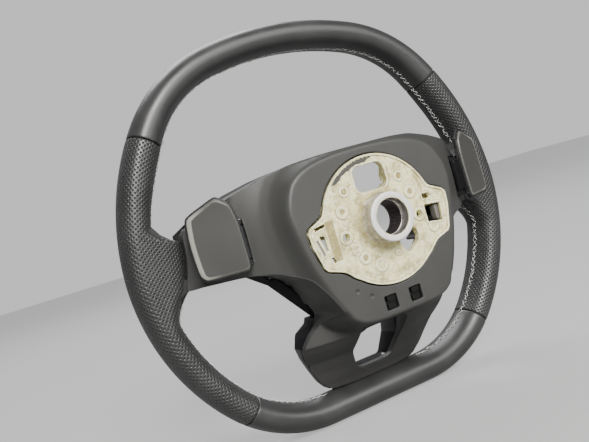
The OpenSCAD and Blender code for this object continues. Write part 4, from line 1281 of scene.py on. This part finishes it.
    def height(self, x: Array, z: Array) -> Array:
        """Height of the cast face: edge wall, pads, pits, the channel and the boss's foot.

        Args:
            x: where, across.
            z: where, up.

        Returns:
            y of the face.
        """
        y = np.full(np.shape(x), 0.08)
        edge = self.plate(x, z)
        y = y + 0.05 * np.sin(x * 0.35 + 1.3 * np.sin(z * 0.21)) + 0.05
        for cx, cz, r, h in self.pads:
            y = y + self.pad(x, z, cx, cz, r, h)
        for cx, cz, r, depth in self.pits:
            y = y - self.pad(x, z, cx, cz, r, depth)
        for cx, cz, _, _ in self.pits[:2]:
            y = y + self.pad(x, z, cx - 0.7, cz - 0.2, 0.9, 1.6)
        y = y - 1.95 * ease(-self.channel(x, z) / 0.6 + 0.2)
        rib = np.minimum.reduce([slot_distance(x, z, a, b, 0.4) for a, b in zip(self.rib[:-1], self.rib[1:])])
        y = y + 1.9 * ease(0.9 - rib / 0.7)
        window = box_distance(x, z, *self.upper_window)
        y = y + 0.6 * ease(1 - np.abs(window - 0.8) / 1.2)
        for corners in self.windows[1:]:
            frame = poly_distance(x, z, np.array(corners))
            y = y + 0.5 * ease(1 - np.abs(frame - 0.7) / 1.0)
        for start, end, half in self.slots:
            y = y + 0.3 * ease(1 - np.abs(slot_distance(x, z, start, end, half) - 0.5) / 0.8)
        rho = np.hypot(x, z)
        run = np.clip(self.boss_r + self.fillet - rho, 0, self.fillet)
        y = y + self.fillet - np.sqrt(np.maximum(self.fillet**2 - run**2, 0))
        y = y - 0.55 * ease(1 - np.abs(edge + self.wall_width + 0.75) / 0.6)
        crest = (self.wall + 0.05) * ease((edge + self.wall_width + 0.35) / 0.5)
        return np.maximum(y, crest + 0.02 * np.sin(x * 1.7) * np.sin(z * 1.3))

    def channel(self, x: Array, z: Array) -> Array:
        """Signed distance of the sunken channel of the ear on the driver's right."""
        return box_distance(x, z, *self.channel_box)

    def marks(self, x: Array, y: Array, z: Array) -> dict[str, Array]:
        """Shares of tan in hollows, partly staining and partly painted shade, of painted highlight on crests
        and of painted shadow, at points of the face.

        Where the mean height round a point lies above it, the point is hollow and
        gets tan, partly staining and partly painted shade; where below, it is a crest
        and gets a painted highlight. Tan painted shade also rings the boss's foot, and pits
        and the channel are stained all over. Shadow fills the crescent between the edge
        wall and the disc's top, and the outer side of the edge wall.

        Args:
            x: across.
            y: along the axis.
            z: up.

        Returns:
            The shares by name.
        """
        r = 0.9
        steps = ((r, 0), (-r, 0), (0, r), (0, -r))
        hollow = np.mean([self.height(x + dx, z + dz) for dx, dz in steps], 0) - self.height(x, z)
        # Hollows: tan, partly staining and partly painted shade.
        stain_and_shade = np.clip(hollow * 3.2, 0, 0.95)
        stain_and_shade = np.maximum(stain_and_shade, 0.95 * ease(-self.channel(x, z) / 0.8 + 0.6))
        for cx, cz, radius, _ in self.pits[:5]:
            stain_and_shade = np.maximum(stain_and_shade, ease((radius + 0.4 - np.hypot(x - cx, z - cz)) / 0.9))
        rho, turn = np.hypot(x, z), np.degrees(np.arctan2(x, z))
        # Painted shade: tan round the boss's foot, in the fillet's corner.
        stain_and_shade = np.maximum(stain_and_shade, 0.62 * ease((27.0 - rho) / 6.0))
        ragged = 0.3 * np.sin(turn * 0.37) + 0.22 * np.sin(turn * 0.93 + 1.0)
        first, last, widest = self.crescent
        width = widest * ease((turn - first) / 16) * ease((last - turn) / 16)
        dark = ease((rho - 48.5 + width + ragged) / 0.4) * ease((48.7 - rho) / 0.3)
        dark = dark * ease((width - 0.5) / 0.5)
        outer = ease((self.plate(x, z) + 0.25) / 0.1) * ease((0.2 - y) / 0.4)
        # The crest share is a painted highlight and the dark share painted shadow.
        return {"stain_and_shade": stain_and_shade, "crest": np.clip(-hollow * 4.0, 0, 1), "dark": np.maximum(dark, outer)}

    def relief(self) -> Object:
        """The cast rear face, with its stains, painted highlights, painted shade and painted shadow as point
        attributes.

        Returns:
            The piece.
        """
        def foot(x: Array, z: Array) -> Array:
            """y of the walls' feet: flush at the boss, shallow at the ears and deep elsewhere."""
            return np.where(np.hypot(x, z) < 20, 0.0, np.where(np.abs(x) > 44.5, -1.9, -5.5))

        points, faces = relief(self.outline, self.height, self.bounds, self.step, foot, self.lip)
        piece = make_mesh("hub_casting_face", points, faces)
        for name, values in self.marks(*points.T).items():
            store_share(piece, name, values)
        return piece

    def shade_flange(self) -> Object:
        """A thin black flange under the gap round the plate, a band along its outline: a dark sheet that
        stands in for the shade in the gap.

        Returns:
            The piece.
        """
        def band(x: Array, z: Array) -> Array:
            """Signed distance of a strip that follows the plate's outline."""
            return np.abs(self.plate(x, z) - 0.6) - 1.5

        def level(x: Array, z: Array) -> Array:
            """The flange's flat top."""
            return np.full(np.shape(x), self.flange_y)

        def foot(x: Array, z: Array) -> Array:
            """The foot of the flange's walls."""
            return np.full(np.shape(x), self.flange_y - self.flange_foot)

        points, faces = relief(band, level, (-67, 67, -53, 53), self.flange_step, foot, 0.2)
        piece = make_mesh("gap_shade_flange", points, faces)
        add_wall(piece, self.flange_wall)
        return piece

    def block(self) -> Object:
        """The grey core block seen through the ear's window.

        It is a rounded box whose rear face slants with the way across, in
        rings from its foot to its face, and then on the face towards its middle.

        Returns:
            The piece.
        """
        loop = rounded_loop(self.block_loop, 2, 0.15)
        rings = []
        for draw, y in self.block_levels:
            middle = loop.mean(0)
            flat = middle + (loop - middle) * (1 - draw * 0.2)
            rings.append(ring_at(flat, y + (flat[:, 0] + self.block_x) * self.block_slant))
        for draw in np.linspace(0, 1, 13)[1:]:
            rings.append(rings[3] + (rings[3].mean(0) - rings[3]) * draw * 0.98)
        faces = grid_faces(len(rings), len(loop), close_columns=True)
        return make_mesh("ear_core_block", np.concatenate(rings), faces[:, ::-1])

    def boss(self) -> list[tuple[str, Finish, Array]]:
        """Profiles of the boss as (radius, y) points: its side, faced ring and bore.

        Returns:
            Name, finish and profile of each of the three.
        """
        sweep = np.linspace(0, math.pi / 2, 14)
        out, up = self.fillet * (1 - np.sin(sweep)), self.fillet * (1 - np.cos(sweep))
        fillet = np.stack([self.boss_r + out, up + 0.1], -1)
        side = np.concatenate([fillet[fillet[:, 0] < 20.4], [[self.boss_r, 12.0], [self.boss_r, 15.55]]])
        ring = np.array([
            [self.boss_r, 15.55], [self.boss_r - 0.12, 16.0], [self.boss_r - 0.5, 16.35],
            [self.boss_r - 0.9, 16.5], [self.bore_r + 1.0, 16.5], [self.bore_r + 0.45, 16.3],
            [self.bore_r + 0.1, 15.8],
        ])
        bore = np.array([
            [self.bore_r + 0.1, 15.8], [self.bore_r, 15.0], [self.bore_r, self.bore_end + 0.2],
            [13.3, self.bore_end + 0.02],
        ])
        return [
            ("boss_side", Finish.BOSS, side),
            ("boss_ring", Finish.FACED, ring),
            ("boss_bore", Finish.BORE, bore),
        ]

    @staticmethod
    def lathe(name: str, profile: Array, sides: int = 128) -> Object:
        """Turns a profile of (radius, y) points about the Y axis.

        Args:
            name: the piece's name.
            profile: its points.
            sides: steps of the turn.

        Returns:
            The piece.
        """
        turn = np.linspace(0, 2 * np.pi, sides, endpoint=False)
        x = profile[:, :1] * np.cos(turn)
        z = profile[:, :1] * np.sin(turn)
        y = np.broadcast_to(profile[:, 1:], x.shape)
        faces = grid_faces(len(profile), sides, close_columns=True)
        return make_mesh(name, np.stack([x, y, z], -1).reshape(-1, 3), faces)

    def under_body(self, dresser: Dresser) -> Object:
        """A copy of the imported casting, merged, its rear faces sunk under the relief and the boss ring.

        Args:
            dresser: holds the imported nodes.

        Returns:
            The piece.
        """
        mesh = merged_copy(dresser.frame["nodes"]["armature"], "hub_casting_body", 1e-5)
        points = np.empty(len(mesh.vertices) * 3, np.float32)
        mesh.vertices.foreach_get("co", points)
        points = points.reshape(-1, 3)
        points[:, 1] -= np.where(points[:, 1] > -0.0008, self.sink, 0.0)
        mesh.vertices.foreach_set("co", points.ravel())
        mesh.update()
        return link_piece(mesh.name, mesh)

    def build(self, dresser: Dresser) -> None:
        """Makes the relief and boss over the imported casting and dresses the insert.

        Args:
            dresser: gives the finishes.
        """
        dresser.dress(self.under_body(dresser), Finish.CAST, "wheel", ["armature"])
        dresser.node("splined_insert", Finish.STEEL)
        dresser.dress(self.relief(), Finish.FACE, "wheel")
        dresser.dress(self.block(), Finish.RECESS, "wheel")
        # Painted shade: the black flange under the gap round the plate.
        dresser.dress(self.shade_flange(), Finish.PLAIN, "wheel")
        for name, finish, profile in self.boss():
            dresser.dress(self.lathe(name, profile), finish, "wheel")


# Rear cover


def smooth_table(knots: Sequence[Pair], blur: float) -> Callable[[Array], Array]:
    """A curve through knots, its bends rounded over blur millimetres.

    Args:
        knots: its (at, value) points.
        blur: how far its bends are rounded.

    Returns:
        The curve, which takes and gives arrays.
    """
    k = np.asarray(knots, float)
    fine = 0.1
    at = np.arange(k[0, 0], k[-1, 0] + fine, fine)
    values = np.interp(at, k[:, 0], k[:, 1])
    reach = int(3 * blur / fine)
    kernel = np.exp(-0.5 * (np.arange(-reach, reach + 1) * fine / blur) ** 2)
    padded = np.pad(values, reach, mode="reflect", reflect_type="odd")
    values = np.convolve(padded, kernel / kernel.sum(), mode="valid")
    return lambda x: np.interp(x, at, values)


def mirrored_loop(half: Sequence[Pair]) -> Array:
    """A closed loop from its right half, top to bottom.

    Args:
        half: its right half.

    Returns:
        The loop.
    """
    h = np.asarray(half, float)
    other = h[::-1] * np.array([-1.0, 1.0])
    keep = np.abs(other[:, 0]) > 1e-6
    return np.concatenate([h, other[keep]])


@dataclass
class RearCover:
    """The moulded rear cover: plateau, side spokes and split lower spoke in one shell.

    `half` and `plateau` are the right halves of the cover's edge and the plateau's
    edge. The falls are (distance, depth) knots, and the partings are (distance from
    the axis, height over the rim's middle plane) knots. The pockets are the lowest and highest
    x and z of the one on the driver's right. The sizes of a dimple and a pin mark
    are radius and depth, below zero for the pin mark, because it stands out.
    """

    half: Loop = (
        (0, 59), (30, 59), (56, 58), (80, 53), (105, 46), (131.6, 32), (132.6, 18),
        (133.8, 9.4), (135.6, 1.2), (138.6, -8.3), (139.6, -12.5), (105, -12.5), (84, -17), (67, -27),
        (57.5, -44), (50.5, -58), (54, -67), (64, -74.8), (69.5, -83), (67, -92.3), (60.5, -105), (52, -119),
        (43, -128.4), (20.5, -130.6), (0, -130.6),
    )
    plateau: Loop = (
        (0, 57), (27, 56), (48, 52.5), (61.5, 45), (67, 37), (70.5, 28), (71.5, 20), (70.3, 9),
        (68.5, -1), (66.5, -11), (63.5, -23), (55.7, -44),
        (48.5, -58), (46, -64), (43, -66.8), (39, -69.3), (34, -71), (28, -72), (20, -72.4),
        (0, -72.5),
    )
    side_fall: Loop = (
        (-20, 0), (0, 0), (2, 2.5), (5, 9), (9, 15.5), (15, 20.5), (24, 26), (34, 32.5), (44, 43),
        (52, 55), (59.5, 69), (68, 72), (90, 78),
    )
    low_fall: Loop = (
        (-20, 0), (0, 0), (1.5, 2.5), (5, 19), (10.5, 39), (15.5, 44), (22.5, 53), (27.5, 60),
        (33.5, 65), (39.5, 70), (45.5, 74), (52.5, 79), (58.1, 82), (80, 86),
    )
    opening: Loop = ((-23, -82), (23, -82), (24.5, -100.5), (17, -119), (-17, -119), (-24.5, -100.5))
    side_parting: Loop = (
        (-20, 31), (70, 31), (84, 29), (104, 13), (118, 5), (131, 2), (160, 2),
    )
    low_parting: Loop = (
        (-90, 31), (75.4, 31), (81.8, 29), (95.2, 21), (107.9, 11), (120.7, 3), (130.6, 0), (160, 0),
    )
    step: float = 0.9
    thick: float = 2.2
    pockets: tuple[float, ...] = (97.3, 113.8, -4.4, 30.4)
    bounds: tuple[float, ...] = (-141, 141, -132, 60)
    clip_at: Pair = (11.3, -62.2)
    clip_half: float = 5.5
    dimple_size: Pair = (2.05, 1.1)
    pin_size: Pair = (0.42, -0.12)
    dimples: Loop = ((37, -46), (26.4, -53))
    pins: Loop = ((66, 32), (-66, 32), (65, -10), (-65, -10), (0, 53.7), (0, -68.3))

    def __post_init__(self) -> None:
        """Prepares the loops and curves."""
        self.edge = rounded_loop(mirrored_loop(self.half), 2, 0.14)
        self.crest = rounded_loop(mirrored_loop(self.plateau), 2, 0.25)
        self.side = smooth_table(self.side_fall, 1.1)
        self.low = smooth_table(self.low_fall, 1.1)
        self.hole = rounded_loop(self.opening, 3, 0.12)
        self.side_split = smooth_table(self.side_parting, 1.0)
        self.low_split = smooth_table(self.low_parting, 1.0)
        self.casting = HubCasting()

    def plate_hole(self, x: Array, z: Array) -> Array:
        """Signed distance of the hole round the casting."""
        return self.casting.plate(x, z) - 1.1

    def outline(self, x: Array, z: Array) -> Array:
        """The cover's region, without the plate's hole, lower opening, clip windows, pockets and dimples.

        Args:
            x: where, across.
            z: where, up.

        Returns:
            The distance at each place.
        """
        d = poly_distance(x, z, self.edge) + 0.5
        cuts = [self.plate_hole(x, z) - 0.5, poly_distance(x, z, self.hole) - 0.5]
        cuts.append(box_distance(np.abs(x), z, *self.clip_at, self.clip_half, self.clip_half, 0.9) - 0.5)
        x0, x1, z0, z1 = self.pockets
        middle, half = ((x0 + x1) / 2, (z0 + z1) / 2), ((x1 - x0) / 2, (z1 - z0) / 2)
        cuts.append(box_distance(np.abs(x), z, *middle, *half, 1.5) - 0.5)
        cuts += [circle_distance(x, z, cx, cz, 2.0) for cx, cz in self.dimples]
        return np.maximum(d, -np.minimum.reduce(cuts))

    def fall(self, x: Array, z: Array) -> Array:
        """Depth of the surface behind the plateau.

        On the sides it follows the side curve of the distance from the crest. Below,
        it follows the lower curve of the height, steepened round the crest's lower
        corners, with the legs rounded off by the square of their distance from the middle.

        Args:
            x: where, across.
            z: where, up.

        Returns:
            The depth at each place.
        """
        away = np.maximum(poly_distance(x, z, self.crest), -3.0)
        side = self.side(away)
        reach = np.maximum(-72.5 - z, np.minimum(1.3 * away, 10.5))
        crown = 0.0065 * np.maximum(0, np.abs(x) - 25) ** 2 * ease(reach / 10)
        low = self.low(reach) + crown
        share = ease((-56.0 - z) / 5.0) * ease((74 - np.abs(x)) / 3)
        return side * (1 - share) + low * share

    def height(self, x: Array, z: Array) -> Array:
        """y of the outer surface."""
        return PLATEAU_Y - self.fall(x, z)

    def foot(self, x: Array, z: Array) -> Array:
        """y of the foot of each wall: the parting line outside, a short return at the holes.

        Args:
            x: where, across.
            z: where, up.

        Returns:
            y at each place.
        """
        split = RIM_Y + np.minimum(self.side_split(np.abs(x)), self.low_split(-z))
        ax = np.abs(x)
        y = np.where(np.abs(self.plate_hole(x, z)) < 2, -4.5, split)
        corner = (ax > 54) & (ax < 88) & (z > -60) & (z < -13.5)
        y = np.where(corner, split - 4.0, y)
        across, up = self.clip_at
        y = np.where((np.abs(ax - across) < 8) & (np.abs(z - up) < 8), -3.4, y)
        x0, x1, z0, z1 = self.pockets
        pocket = (ax > x0 - 1.5) & (ax < x1 + 1.5) & (z > z0 - 1.5) & (z < z1 + 1.5)
        return np.where(pocket, -30 - (ax - x0) * 0.85, y)

    def shell(self) -> Object:
        """The cover's outer surface with its walls, thickened inwards.

        Returns:
            The piece.
        """
        points, faces = relief(self.outline, self.height, self.bounds, self.step, self.foot, 0.5)
        piece = make_mesh("rear_cover_shell", points, faces)
        add_wall(piece, self.thick)
        return piece

    def cups(self) -> Object:
        """Small cups that line the two dimples and sit at the pin marks.

        A cup's profile is a quarter of an oval, from its lip to its floor: its radius
        follows the cosine raised to 0.6, and its depth the sine.

        Returns:
            The piece.
        """
        parts = []
        sides = 28
        turn = np.linspace(0, 2 * np.pi, sides, endpoint=False)
        share = np.linspace(0, 1, 9)
        for spots, (r, depth) in ((self.dimples, self.dimple_size), (self.pins, self.pin_size)):
            for cx, cz in spots:
                rho = r * np.cos(share * np.pi / 2) ** 0.6
                y = PLATEAU_Y + 0.02 - depth * np.sin(share * np.pi / 2)
                rho[-1] = 0.02
                x = cx + rho[:, None] * np.cos(turn)
                z = cz + rho[:, None] * np.sin(turn)
                points = np.stack([x, np.broadcast_to(y[:, None], x.shape), z], -1).reshape(-1, 3)
                parts.append((points, grid_faces(len(share), sides, close_columns=True)))
        points, faces = stack_parts(parts)
        return make_mesh("cover_dimples", points, faces)

    def build(self, dresser: Dresser) -> None:
        """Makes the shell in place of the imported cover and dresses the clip.

        Args:
            dresser: gives the finishes.
        """
        dresser.dress(self.shell(), Finish.COVER, "wheel", ["rear_cover"])
        dresser.dress(self.cups(), Finish.COVER, "wheel")
        dresser.node("cover_clip", Finish.CLIP)


# Paddles


@dataclass
class Paddle:
    """A shift paddle: bevelled grey plate on its black lever, with a ribbed inner edge.

    The rings of the border are how far each stands out round the plate, and where
    it lies from the plate's face, below zero behind it.
    """

    side: int
    start: Pair = (104.5, RIM_Y + 67.4)
    tilt: float = 28.7
    width: float = 37.5
    side_h: float = 47.5
    peak_h: float = 56.5
    low: float = -7.3
    thick: float = 2.4
    border_rings: Loop = ((1.0, -4.4), (1.3, -4.0), (1.3, -1.9), (1.05, -1.65), (0.4, -1.6), (-1.5, -1.6))

    @property
    def name(self) -> str:
        """The side's name."""
        return "right" if self.side > 0 else "left"

    def seat(self, local: Array) -> Array:
        """Moves points of the paddle's own frame (along, out, up) onto the wheel.

        Args:
            local: the points.

        Returns:
            The points on the wheel.
        """
        c, s = math.cos(math.radians(self.tilt)), math.sin(math.radians(self.tilt))
        x = self.start[0] + local[..., 0] * c + local[..., 1] * s
        y = self.start[1] - local[..., 0] * s + local[..., 1] * c
        return np.stack([x * self.side, y, local[..., 2]], -1)

    def loop(self, edge: float, top: float, low: float, near: float) -> Array:
        """Outline of the plate, its corners rounded, drawn in by each side's bevel.

        Args:
            edge: how far the outer side is drawn in.
            top: how far the top is.
            low: how far the foot is.
            near: how far the inner side is.

        Returns:
            The outline's (along, up) points.
        """
        w, z = self.width, self.low
        corners = [
            (near, z + 4), (1.4 + near, z + 0.8 + low), (3.4 + near, z + low),
            (w - 5.4 - edge / 2, z + 0.6 + low), (w - 2.6 - edge * 0.8, z + 2.2 + low * 0.7),
            (w - edge, z + 6), (w + 0.8 - edge, z + 28),
            (w - 0.9 - edge, z + self.side_h - 2.5 - top / 2),
            (w - 3.2 - edge * 0.8, z + self.side_h + 1.1 - top * 0.8),
            (14.6, z + self.peak_h - 0.7 - top), (11.4, z + self.peak_h - top),
            (8.5, z + self.peak_h - 1.7 - top * 0.9), (4.4 + near, z + self.peak_h - 5.4 - top / 2),
            (2.4 + near, z + self.peak_h - 8 - top / 2), (near, z + 36),
        ]
        return rounded_loop(corners, 2, 0.22)

    def ringed(self, name: str, rings: list[Array], closed: bool) -> Object:
        """Joins rings of the paddle's own frame into a piece that faces outwards on either side.

        Args:
            name: the piece's name.
            rings: its rings, of equal length.
            closed: whether the last ring joins the first.

        Returns:
            The piece.
        """
        faces = grid_faces(len(rings), len(rings[0]), close_rows=closed, close_columns=True)
        faces = faces if self.side > 0 else faces[:, ::-1]
        return make_mesh(name, self.seat(np.concatenate(rings)), faces)

    def plate(self) -> Object:
        """The grey plate: rings from its rear edge over the bevel to its face.

        Returns:
            The piece.
        """
        levels = [
            (0.35, 0.35, 0.35, 0.2, -self.thick), (0, 0, 0, 0, -self.thick + 0.3), (0, 0, 0, 0, -1.5),
            (0.12, 0.1, 0.1, 0.05, -1.25), (0.5, 0.35, 0.25, 0.12, -1.0), (3.3, 1.9, 1.7, 0.25, -0.16),
            (3.8, 2.3, 2.0, 0.35, -0.03), (4.3, 2.7, 2.3, 0.5, 0.0), (6.0, 4.2, 3.4, 2.0, 0.0),
        ]
        flat = [self.loop(edge, top, low, near) for edge, top, low, near, _ in levels]
        rings = [ring_at(loop, level[4]) for loop, level in zip(flat, levels)]
        back, front = rings[0].mean(0), rings[-1].mean(0)
        rings = [back + (rings[0] - back) * share for share in (0.01, 0.6)] + rings
        rings += [front + (rings[-1] - front) * share for share in (0.55, 0.2, 0.01)]
        piece = self.ringed(f"paddle_plate_{self.name}_face", rings, False)
        # Painted highlight on the bevel rings, stronger towards the plate's outer side.
        bevel_highlight = np.zeros(len(rings))
        bevel_highlight[6:9] = (0.9, 1.0, 0.5)
        aside = np.clip((flat[0][:, 0] - 20.0) / 12.0, 0.25, 1.0)
        store_share(piece, "bevel", bevel_highlight[:, None] * aside)
        return piece

    def border(self) -> Object:
        """The lever's black edge that stands out round the plate.

        Its rings run from its foot, out round its side and in under the plate.

        Returns:
            The piece.
        """
        rings = []
        for grow, out in self.border_rings:
            rings.append(ring_at(self.loop(-grow, -grow, -grow, -0.6 * grow), out))
        return self.ringed(f"paddle_border_{self.name}", rings, True)

    def ribs(self) -> Object:
        """Small ribs along the inner edge: short rounded bars, a pitch apart.

        Returns:
            The piece.
        """
        z = np.arange(-4.2, 34.0, 1.5)
        share = np.linspace(0, 1, 5)
        a = np.stack([np.full_like(z, -0.15), np.full_like(z, -2.2), z], -1)
        b = np.stack([np.full_like(z, -0.55), np.full_like(z, -4.6), z + 0.9], -1)
        paths = a[:, None] + (b - a)[:, None] * share[None, :, None]
        points, faces = tube(self.seat(paths), 0.42)
        return make_mesh(f"paddle_ribs_{self.name}", points, faces)

    def build(self, dresser: Dresser) -> None:
        """Makes the plate and ribs and dresses the paddle's other nodes.

        Args:
            dresser: gives the finishes.
        """
        body = f"paddle_{self.name}"
        dresser.dress(self.plate(), Finish.PADDLE, body, [f"paddle_plate_{self.name}"])
        dresser.dress(self.ribs(), Finish.RIBS, body)
        dresser.dress(self.border(), Finish.PLAIN, body)
        for part in ("paddle_lever", "paddle_base", "microswitch"):
            dresser.node(f"{part}_{self.name}", Finish.PLAIN)
        for part in ("hinge_pin", "return_spring"):
            dresser.node(f"{part}_{self.name}", Finish.BRIGHT)


# Front mouldings


def eased_copy(dresser: Dresser, node: str, width: float, finish: Finish, body: str) -> Object:
    """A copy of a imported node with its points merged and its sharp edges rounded.

    Args:
        dresser: gives the finish.
        node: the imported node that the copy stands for.
        width: size of the rounding in millimetres.
        finish: the copy's finish.
        body: the body it rides on.

    Returns:
        The copy.
    """
    mesh = merged_copy(dresser.frame["nodes"][node], f"{node}_eased", 2e-5, 0.02)
    piece = link_piece(mesh.name, mesh)
    mesh.polygons.foreach_set("use_smooth", np.ones(len(mesh.polygons), bool))
    bevel = piece.modifiers.new("eased", "BEVEL")
    bevel.width = width * MM
    bevel.segments = 2
    bevel.limit_method = "ANGLE"
    bevel.angle_limit = math.radians(35)
    bevel.harden_normals = True
    return dresser.dress(piece, finish, body, [node])


@dataclass
class FrontMouldings:
    """The front trim, the gloss lower trim and the two switch blocks with their key marks.

    A key is its name and its arrowhead's turn in degrees, or None for a dot.
    """

    keys: tuple[tuple[str, float | None], ...] = (
        ("up", 0.0), ("down", 180.0), ("inner", 90.0), ("outer", -90.0), ("centre", None),
    )
    arrow: Loop = ((0.0, 1.5), (-1.7, -1.0), (0.0, -0.35), (1.7, -1.0))
    dot_r: float = 1.1
    proud: float = 0.12

    def mark(self, key: str, side: str, turn: float | None) -> Object:
        """A raised mark on a key's front: an arrowhead, or a dot on the centre key.

        Its rings are the outline scaled in steps, at depths from just under the
        key's front face to just proud of it, closed by a small ring in the middle.

        Args:
            key: the key's place.
            side: the switch block's side.
            turn: the arrowhead's turn in degrees, or None.

        Returns:
            The piece.
        """
        low, high = (np.array(corner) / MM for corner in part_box(f"key_{key}_{side}"))
        centre = (low + high) / 2
        if turn is None:
            sweep = np.linspace(0, 2 * np.pi, 24, endpoint=False)
            loop = self.dot_r * np.stack([np.cos(sweep), np.sin(sweep)], -1)
        else:
            c, s = math.cos(math.radians(turn)), math.sin(math.radians(turn))
            loop = rounded_loop(self.arrow, 2, 0.12) @ np.array([[c, s], [-s, c]])
            loop[:, 0] *= -1.0 if side == "left" else 1.0
        rings = []
        levels = [(1.0, -0.35), (1.0, self.proud * 0.5)]
        levels += [(scale, self.proud) for scale in (0.93, 0.5, 0.02)]
        for scale, lift in levels:
            rings.append(ring_at(centre[[0, 2]] + loop * scale, low[1] - lift + BOSS_HEIGHT))
        faces = grid_faces(len(rings), len(loop), close_columns=True)
        area = np.sum(loop[:, 0] * np.roll(loop[:, 1], -1) - loop[:, 1] * np.roll(loop[:, 0], -1))
        faces = faces if area > 0 else faces[:, ::-1]
        return make_mesh(f"key_mark_{key}_{side}", np.concatenate(rings), faces, smooth=False)

    def build(self, dresser: Dresser) -> None:
        """Dresses the mouldings and their switches, and puts the marks on the keys.

        Args:
            dresser: gives the finishes.
        """
        eased_copy(dresser, "front_trim", 0.7, Finish.SATIN, "wheel")
        eased_copy(dresser, "lower_spoke_trim", 0.8, Finish.GLOSS, "wheel")
        for side in ("left", "right"):
            eased_copy(dresser, f"switch_housing_{side}", 0.4, Finish.GLOSS, "wheel")
            dresser.node(f"switch_mat_{side}", Finish.SILICONE)
            dresser.node(f"switch_board_{side}", Finish.BOARD)
            dresser.node(f"switch_screws_{side}", Finish.BRIGHT)
            for key, turn in self.keys:
                body = f"{key}_key_{side}"
                eased_copy(dresser, f"key_{key}_{side}", 0.35, Finish.KEYS, body)
                dresser.dress(self.mark(key, side, turn), Finish.MARKS, body)


# Studio


@dataclass
class Studio:
    """Camera, pale floor and soft lights, in metres of the part's frame.

    A lamp is its name, place, side, power and colour.
    """

    floor_z: float = -0.1562
    floor_half: float = 6.0
    floor_tone: float = 0.24
    floor_glow: float = 0.47
    lens: float = 42.784
    eye: Triple = (0.27982, 0.45131 - BOSS_HEIGHT * MM, 0.02832)
    right: Triple = (-0.86633867, 0.40979339, -0.2855288)
    up: Triple = (-0.26780598, 0.10141758, 0.95812026)
    back: Triple = (0.42158899, 0.90652295, 0.02188315)
    lamps: tuple[tuple[str, Triple, float, float, Triple], ...] = (
        ("window", (0.4, 1.75, 1.1), 0.9, 78.0, (1.0, 0.99, 0.965)),
        ("fill", (-0.8, 1.65, 0.9), 1.3, 22.0, (1.0, 0.99, 0.98)),
        ("edge", (1.5, 0.6, 0.1), 0.5, 1.5, (1.0, 0.98, 0.94)),
        ("front", (-0.3, -1.5, 1.9), 1.5, 42.0, (1.0, 1.0, 1.0)),
    )
    sky: Triple = (0.82, 0.83, 0.85)
    sky_strength: float = 0.17
    backdrop: Triple = (0.74, 0.74, 0.74)

    def camera(self) -> None:
        """Puts the camera where the photograph was taken."""
        data = bpy.data.cameras.new("camera")
        data.lens = self.lens
        data.sensor_width = 36.0
        data.clip_start = 0.01
        piece = link_piece("camera", data)
        rows = zip(self.right, self.up, self.back, self.eye)
        piece.matrix_world = Matrix([*rows, (0, 0, 0, 1)])
        bpy.context.scene.camera = piece

    def lamp(self, name: str, place: Triple, size: float, watts: float, color: Triple) -> None:
        """Makes a square soft light that faces the wheel.

        Args:
            name: the lamp's name.
            place: where it is, in metres.
            size: its side in metres.
            watts: its power.
            color: its colour.
        """
        data = bpy.data.lights.new(name, "AREA")
        data.size = size
        data.energy = watts
        data.color = color
        piece = link_piece(name, data)
        piece.location = place
        piece.rotation_euler = (-Vector(place)).to_track_quat("-Z", "Y").to_euler()

    def floor(self) -> None:
        """Makes the pale floor, which keeps shadows and glows evenly for camera rays only."""
        mesh = bpy.data.meshes.new("floor")
        r, z = self.floor_half, self.floor_z
        mesh.from_pydata([(-r, -r, z), (r, -r, z), (r, r, z), (-r, r, z)], [], [(0, 1, 2, 3)])
        floor = link_piece("floor", mesh)
        g = Graph("pale_floor")
        glow = g.times(g.add("LightPath").outputs["Is Camera Ray"], self.floor_glow)
        mesh.materials.append(g.finish(
            Base_Color=(self.floor_tone,) * 3, Roughness=0.9,
            Emission_Color=(1.0, 1.0, 1.0), Emission_Strength=glow,
        ))

    def world(self) -> None:
        """Makes the sky, which lights the wheel, and the backdrop, which only the camera sees."""
        world = bpy.data.worlds.new("sky")
        bpy.context.scene.world = world
        world.use_nodes = True
        nodes, links = world.node_tree.nodes, world.node_tree.links
        sky = nodes["Background"]
        sky.inputs[0].default_value = (*self.sky, 1.0)
        sky.inputs[1].default_value = self.sky_strength
        view = nodes.new("ShaderNodeBackground")
        view.inputs[0].default_value = (*self.backdrop, 1.0)
        mix = nodes.new("ShaderNodeMixShader")
        path = nodes.new("ShaderNodeLightPath")
        links.new(path.outputs["Is Camera Ray"], mix.inputs[0])
        links.new(sky.outputs[0], mix.inputs[1])
        links.new(view.outputs[0], mix.inputs[2])
        links.new(mix.outputs[0], nodes["World Output"].inputs[0])

    def build(self) -> None:
        """Makes the camera, floor, lamps and sky."""
        self.camera()
        self.floor()
        for lamp in self.lamps:
            self.lamp(*lamp)
        self.world()


def main() -> None:
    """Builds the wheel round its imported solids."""
    logging.basicConfig(level=logging.INFO, format="%(message)s")
    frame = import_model()
    dresser = Dresser(frame)
    Studio().build()
    Rim().build(dresser)
    HubCasting().build(dresser)
    RearCover().build(dresser)
    for side in (1, -1):
        Paddle(side).build(dresser)
    FrontMouldings().build(dresser)


if __name__ == "__main__":
    main()
